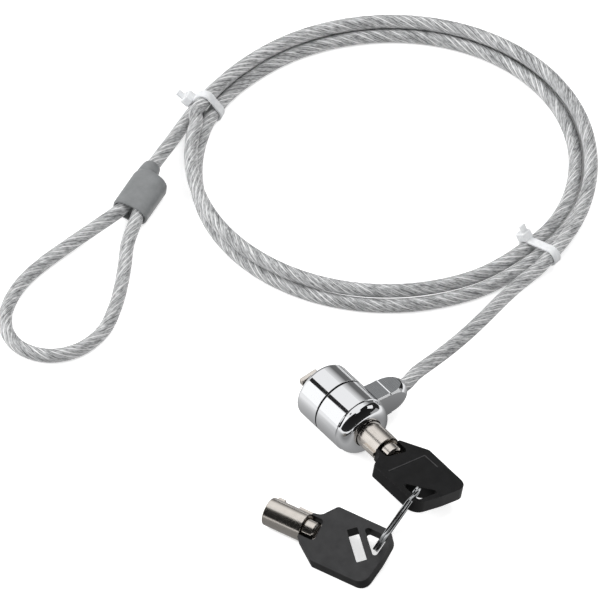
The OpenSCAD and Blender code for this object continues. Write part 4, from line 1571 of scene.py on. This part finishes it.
@dataclass
class Studio:
    """Pale floor, soft light and the camera."""

    target: tuple[float, float, float] = (-43.2, 25.24, TABLE - 0.8)
    to_camera: tuple[float, float, float] = (0.5504, -0.4244, 0.719)
    distance: float = 9000.0
    pixels_per_mm: float = 3.097
    width: int = 600
    sky: float = 0.66
    lamp: float = 8.0

    def camera(self) -> None:
        """Place the camera far off with a long lens, so that the view is almost without perspective."""
        data = bpy.data.cameras.new("camera")
        data.sensor_width = 36.0
        data.lens = self.pixels_per_mm * self.distance / self.width * data.sensor_width
        data.clip_start, data.clip_end = 0.1, 30.0
        camera = hang("camera", data)
        away = Vector(self.to_camera).normalized()
        camera.location = (Vector(self.target) + away * self.distance) * MM
        camera.rotation_euler = (-away).to_track_quat("-Z", "Y").to_euler()
        bpy.context.scene.camera = camera

    def floor(self) -> None:
        """Lay the floor under the lock."""
        bm = bmesh.new()
        level = Matrix.Translation((0, 0, (TABLE - 0.01) * MM))
        bmesh.ops.create_grid(bm, x_segments=1, y_segments=1, size=2.5, matrix=level)
        stage_piece(bm, "floor", Floor().make())

    def world(self) -> None:
        """Even sky, white where it is seen directly or in a reflection."""
        world = bpy.data.worlds.new("sky")
        bpy.context.scene.world = world
        tree = bare_tree(world)
        paths = add_node(tree, "LightPath")
        rays = {0: paths.outputs["Is Camera Ray"], 1: paths.outputs["Is Glossy Ray"]}
        seen = add_node(tree, "Math", rays, operation="MAXIMUM")
        rays = {0: seen.outputs[0], 1: paths.outputs["Is Transmission Ray"]}
        clear = add_node(tree, "Math", rays, operation="MAXIMUM")
        strength = add_node(tree, "MapRange", {"Value": clear.outputs[0], "To Min": self.sky, "To Max": 1.0})
        sky = add_node(tree, "Background", {"Color": (1, 1, 1, 1), "Strength": strength.outputs[0]})
        add_node(tree, "OutputWorld", {"Surface": sky.outputs[0]})

    def card(
        self,
        name: str,
        turn: Point2,
        rise: Point2,
        low: str,
        high: str,
        distance: float = 1.0,
        strength: float = 1.0,
    ) -> None:
        """Hang a curved card round the lock that only reflections see.

        Args:
            name: Name of the card.
            turn: Bearings of its two sides about Z, in degrees from X.
            rise: Heights of its lower and upper edge above the horizon, in degrees.
            low: Shade at its lower edge.
            high: Shade at its upper edge.
            distance: Distance from the lock, in metres.
            strength: Brightness of white on it.
        """
        bm = bmesh.new()
        foot = math.radians(rise[0])
        first = bm.verts.new((distance * math.cos(foot), 0, distance * math.sin(foot)))
        lift = math.radians(rise[0] - rise[1])
        bmesh.ops.spin(bm, geom=[first], cent=(0, 0, 0), axis=(0, 1, 0), angle=lift, steps=12)
        side = Matrix.Rotation(math.radians(turn[0]), 3, "Z")
        bmesh.ops.rotate(bm, verts=bm.verts[:], cent=(0, 0, 0), matrix=side)
        arc = bm.verts[:] + bm.edges[:]
        sweep = math.radians(turn[1] - turn[0])
        bmesh.ops.spin(bm, geom=arc, cent=(0, 0, 0), axis=(0, 0, 1), angle=sweep, steps=24)
        material = bpy.data.materials.new(name)
        tree = bare_tree(material)
        where = add_node(tree, "TexCoord")
        split = add_node(tree, "SeparateXYZ", {0: where.outputs["Object"]})
        ends = [distance * math.sin(math.radians(a)) for a in rise]
        height = {"Value": split.outputs[2], "From Min": ends[0], "From Max": ends[1]}
        share = add_node(tree, "MapRange", height)
        shades = {0: share.outputs[0], 6: linear(low), 7: linear(high)}
        shade = add_node(tree, "Mix", shades, data_type="RGBA")
        glow = add_node(tree, "Emission", {"Color": shade.outputs[2], "Strength": strength})
        add_node(tree, "OutputMaterial", {"Surface": glow.outputs[0]})
        card = stage_piece(bm, name, material)
        card.visible_camera = False
        card.visible_diffuse = False
        card.visible_shadow = False

    def lamps(self) -> None:
        """Hang one broad soft lamp at the side and a weaker one above; reflections show neither."""
        for name, toward, size, power in (
            ("broad_lamp", (-0.554, -0.735, 0.5), 0.5, self.lamp),
            ("top_lamp", (0.1, 0.3, 0.9), 0.6, self.lamp * 0.4),
        ):
            data = bpy.data.lights.new(name, "AREA")
            data.shape = "SQUARE"
            data.size = size
            data.energy = power
            lamp = hang(name, data)
            away = Vector(toward).normalized()
            lamp.location = Vector((-0.02, 0.02, 0)) + away * 1.2
            lamp.rotation_euler = away.to_track_quat("Z", "Y").to_euler()
            lamp.visible_glossy = False

    def build(self) -> None:
        """Set the whole studio up."""
        self.floor()
        self.world()
        self.lamps()
        self.card("card_room", (-116, 116), (-8, 80), "#2C2C2C", "#1C1C1C")
        self.card("card_window", (65, 97), (28, 50), "#FFFFFF", "#FFFFFF", 0.95)
        self.card("card_low", (35, 72), (-8, 16), "#A8A8A8", "#A8A8A8", 0.95)
        self.card("card_back", (116, 190), (-8, 22), "#727272", "#6C6C6C")
        self.card("card_fade", (116, 190), (22, 44), "#6C6C6C", "#EEEEEE")
        self.card("card_line", (-150, -137), (36, 57), "#242424", "#303030", 0.9)
        self.card("card_lamp", (-137, -116), (-4, 42), "#FFFFFF", "#FFFFFF", 0.95, 1.2)
        bpy.context.scene.view_settings.view_transform = "Standard"


KEPT_NODES = {
    "cylinder_sleeve": Slot.NICKEL,
    "pin_block": Slot.BRASS,
    "driver_pins": Slot.PIN,
    "pin_springs": Slot.SPRING,
    "retaining_pin": Slot.PIN,
    "spindle": Slot.BRASS,
    "key_pins": Slot.PIN,
    "spindle_clip": Slot.SPRING,
    "cable_stop": Slot.PIN,
    "ferrule_crimp": Slot.CRIMP,
}


def key_places() -> tuple[Matrix, Matrix]:
    """Places of the two keys: one in the lock, one on the table.

    Returns:
        The first and the second key's frame.
    """
    first = Matrix.Translation((21.0, 0, 0)) @ rotated(168, "X")
    head_w, head_t = TubularKey.head_w, TubularKey.head_t
    height = TubularKey.barrel_r + 0.01
    roll = math.asin(height / (math.hypot(head_w, head_t) / 2)) - math.atan(head_t / head_w)
    turn = rotated(20, "Z") @ Matrix.Rotation(roll, 4, "X")
    return first, Matrix.Translation(on_table((29.45, -43.25, height))) @ turn


def main() -> None:
    """Build the camera, the cable and every piece of the lock, then the studio."""
    logging.basicConfig(level=logging.INFO, format="%(name)s: %(message)s")
    studio = Studio()
    studio.camera()
    shop = Workshop(Finishes())
    coil, seat = Coil(), FerruleSeat()
    cover = Ferrule(shop, seat).build()
    ties = [
        CableTie(shop, coil, "tie_by_ferrule", "tie_1", coil.tie_angles[0], 0, 35.0).build(),
        CableTie(shop, coil, "tie_by_lock", "tie_2", coil.tie_angles[1], 1, 118.0).build(),
    ]
    ends = [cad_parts[node] for node in ("ferrule_crimp", "cable_stop")]
    Cable(shop, coil, seat).build([cover, *ties, *ends])
    LockBody(shop).build()
    TBar(shop).build()
    first, second = key_places()
    TubularKey(shop, "key_1", Body.KEY_1, Slot.KEY_1, first, upper=-1, slotted=False).build()
    TubularKey(shop, "key_2", Body.KEY_2, Slot.KEY_2, second, upper=1, slotted=True).build()
    SplitRing(shop).build()
    shop.coat_nodes(KEPT_NODES)
    studio.build()


if __name__ == "__main__":
    main()
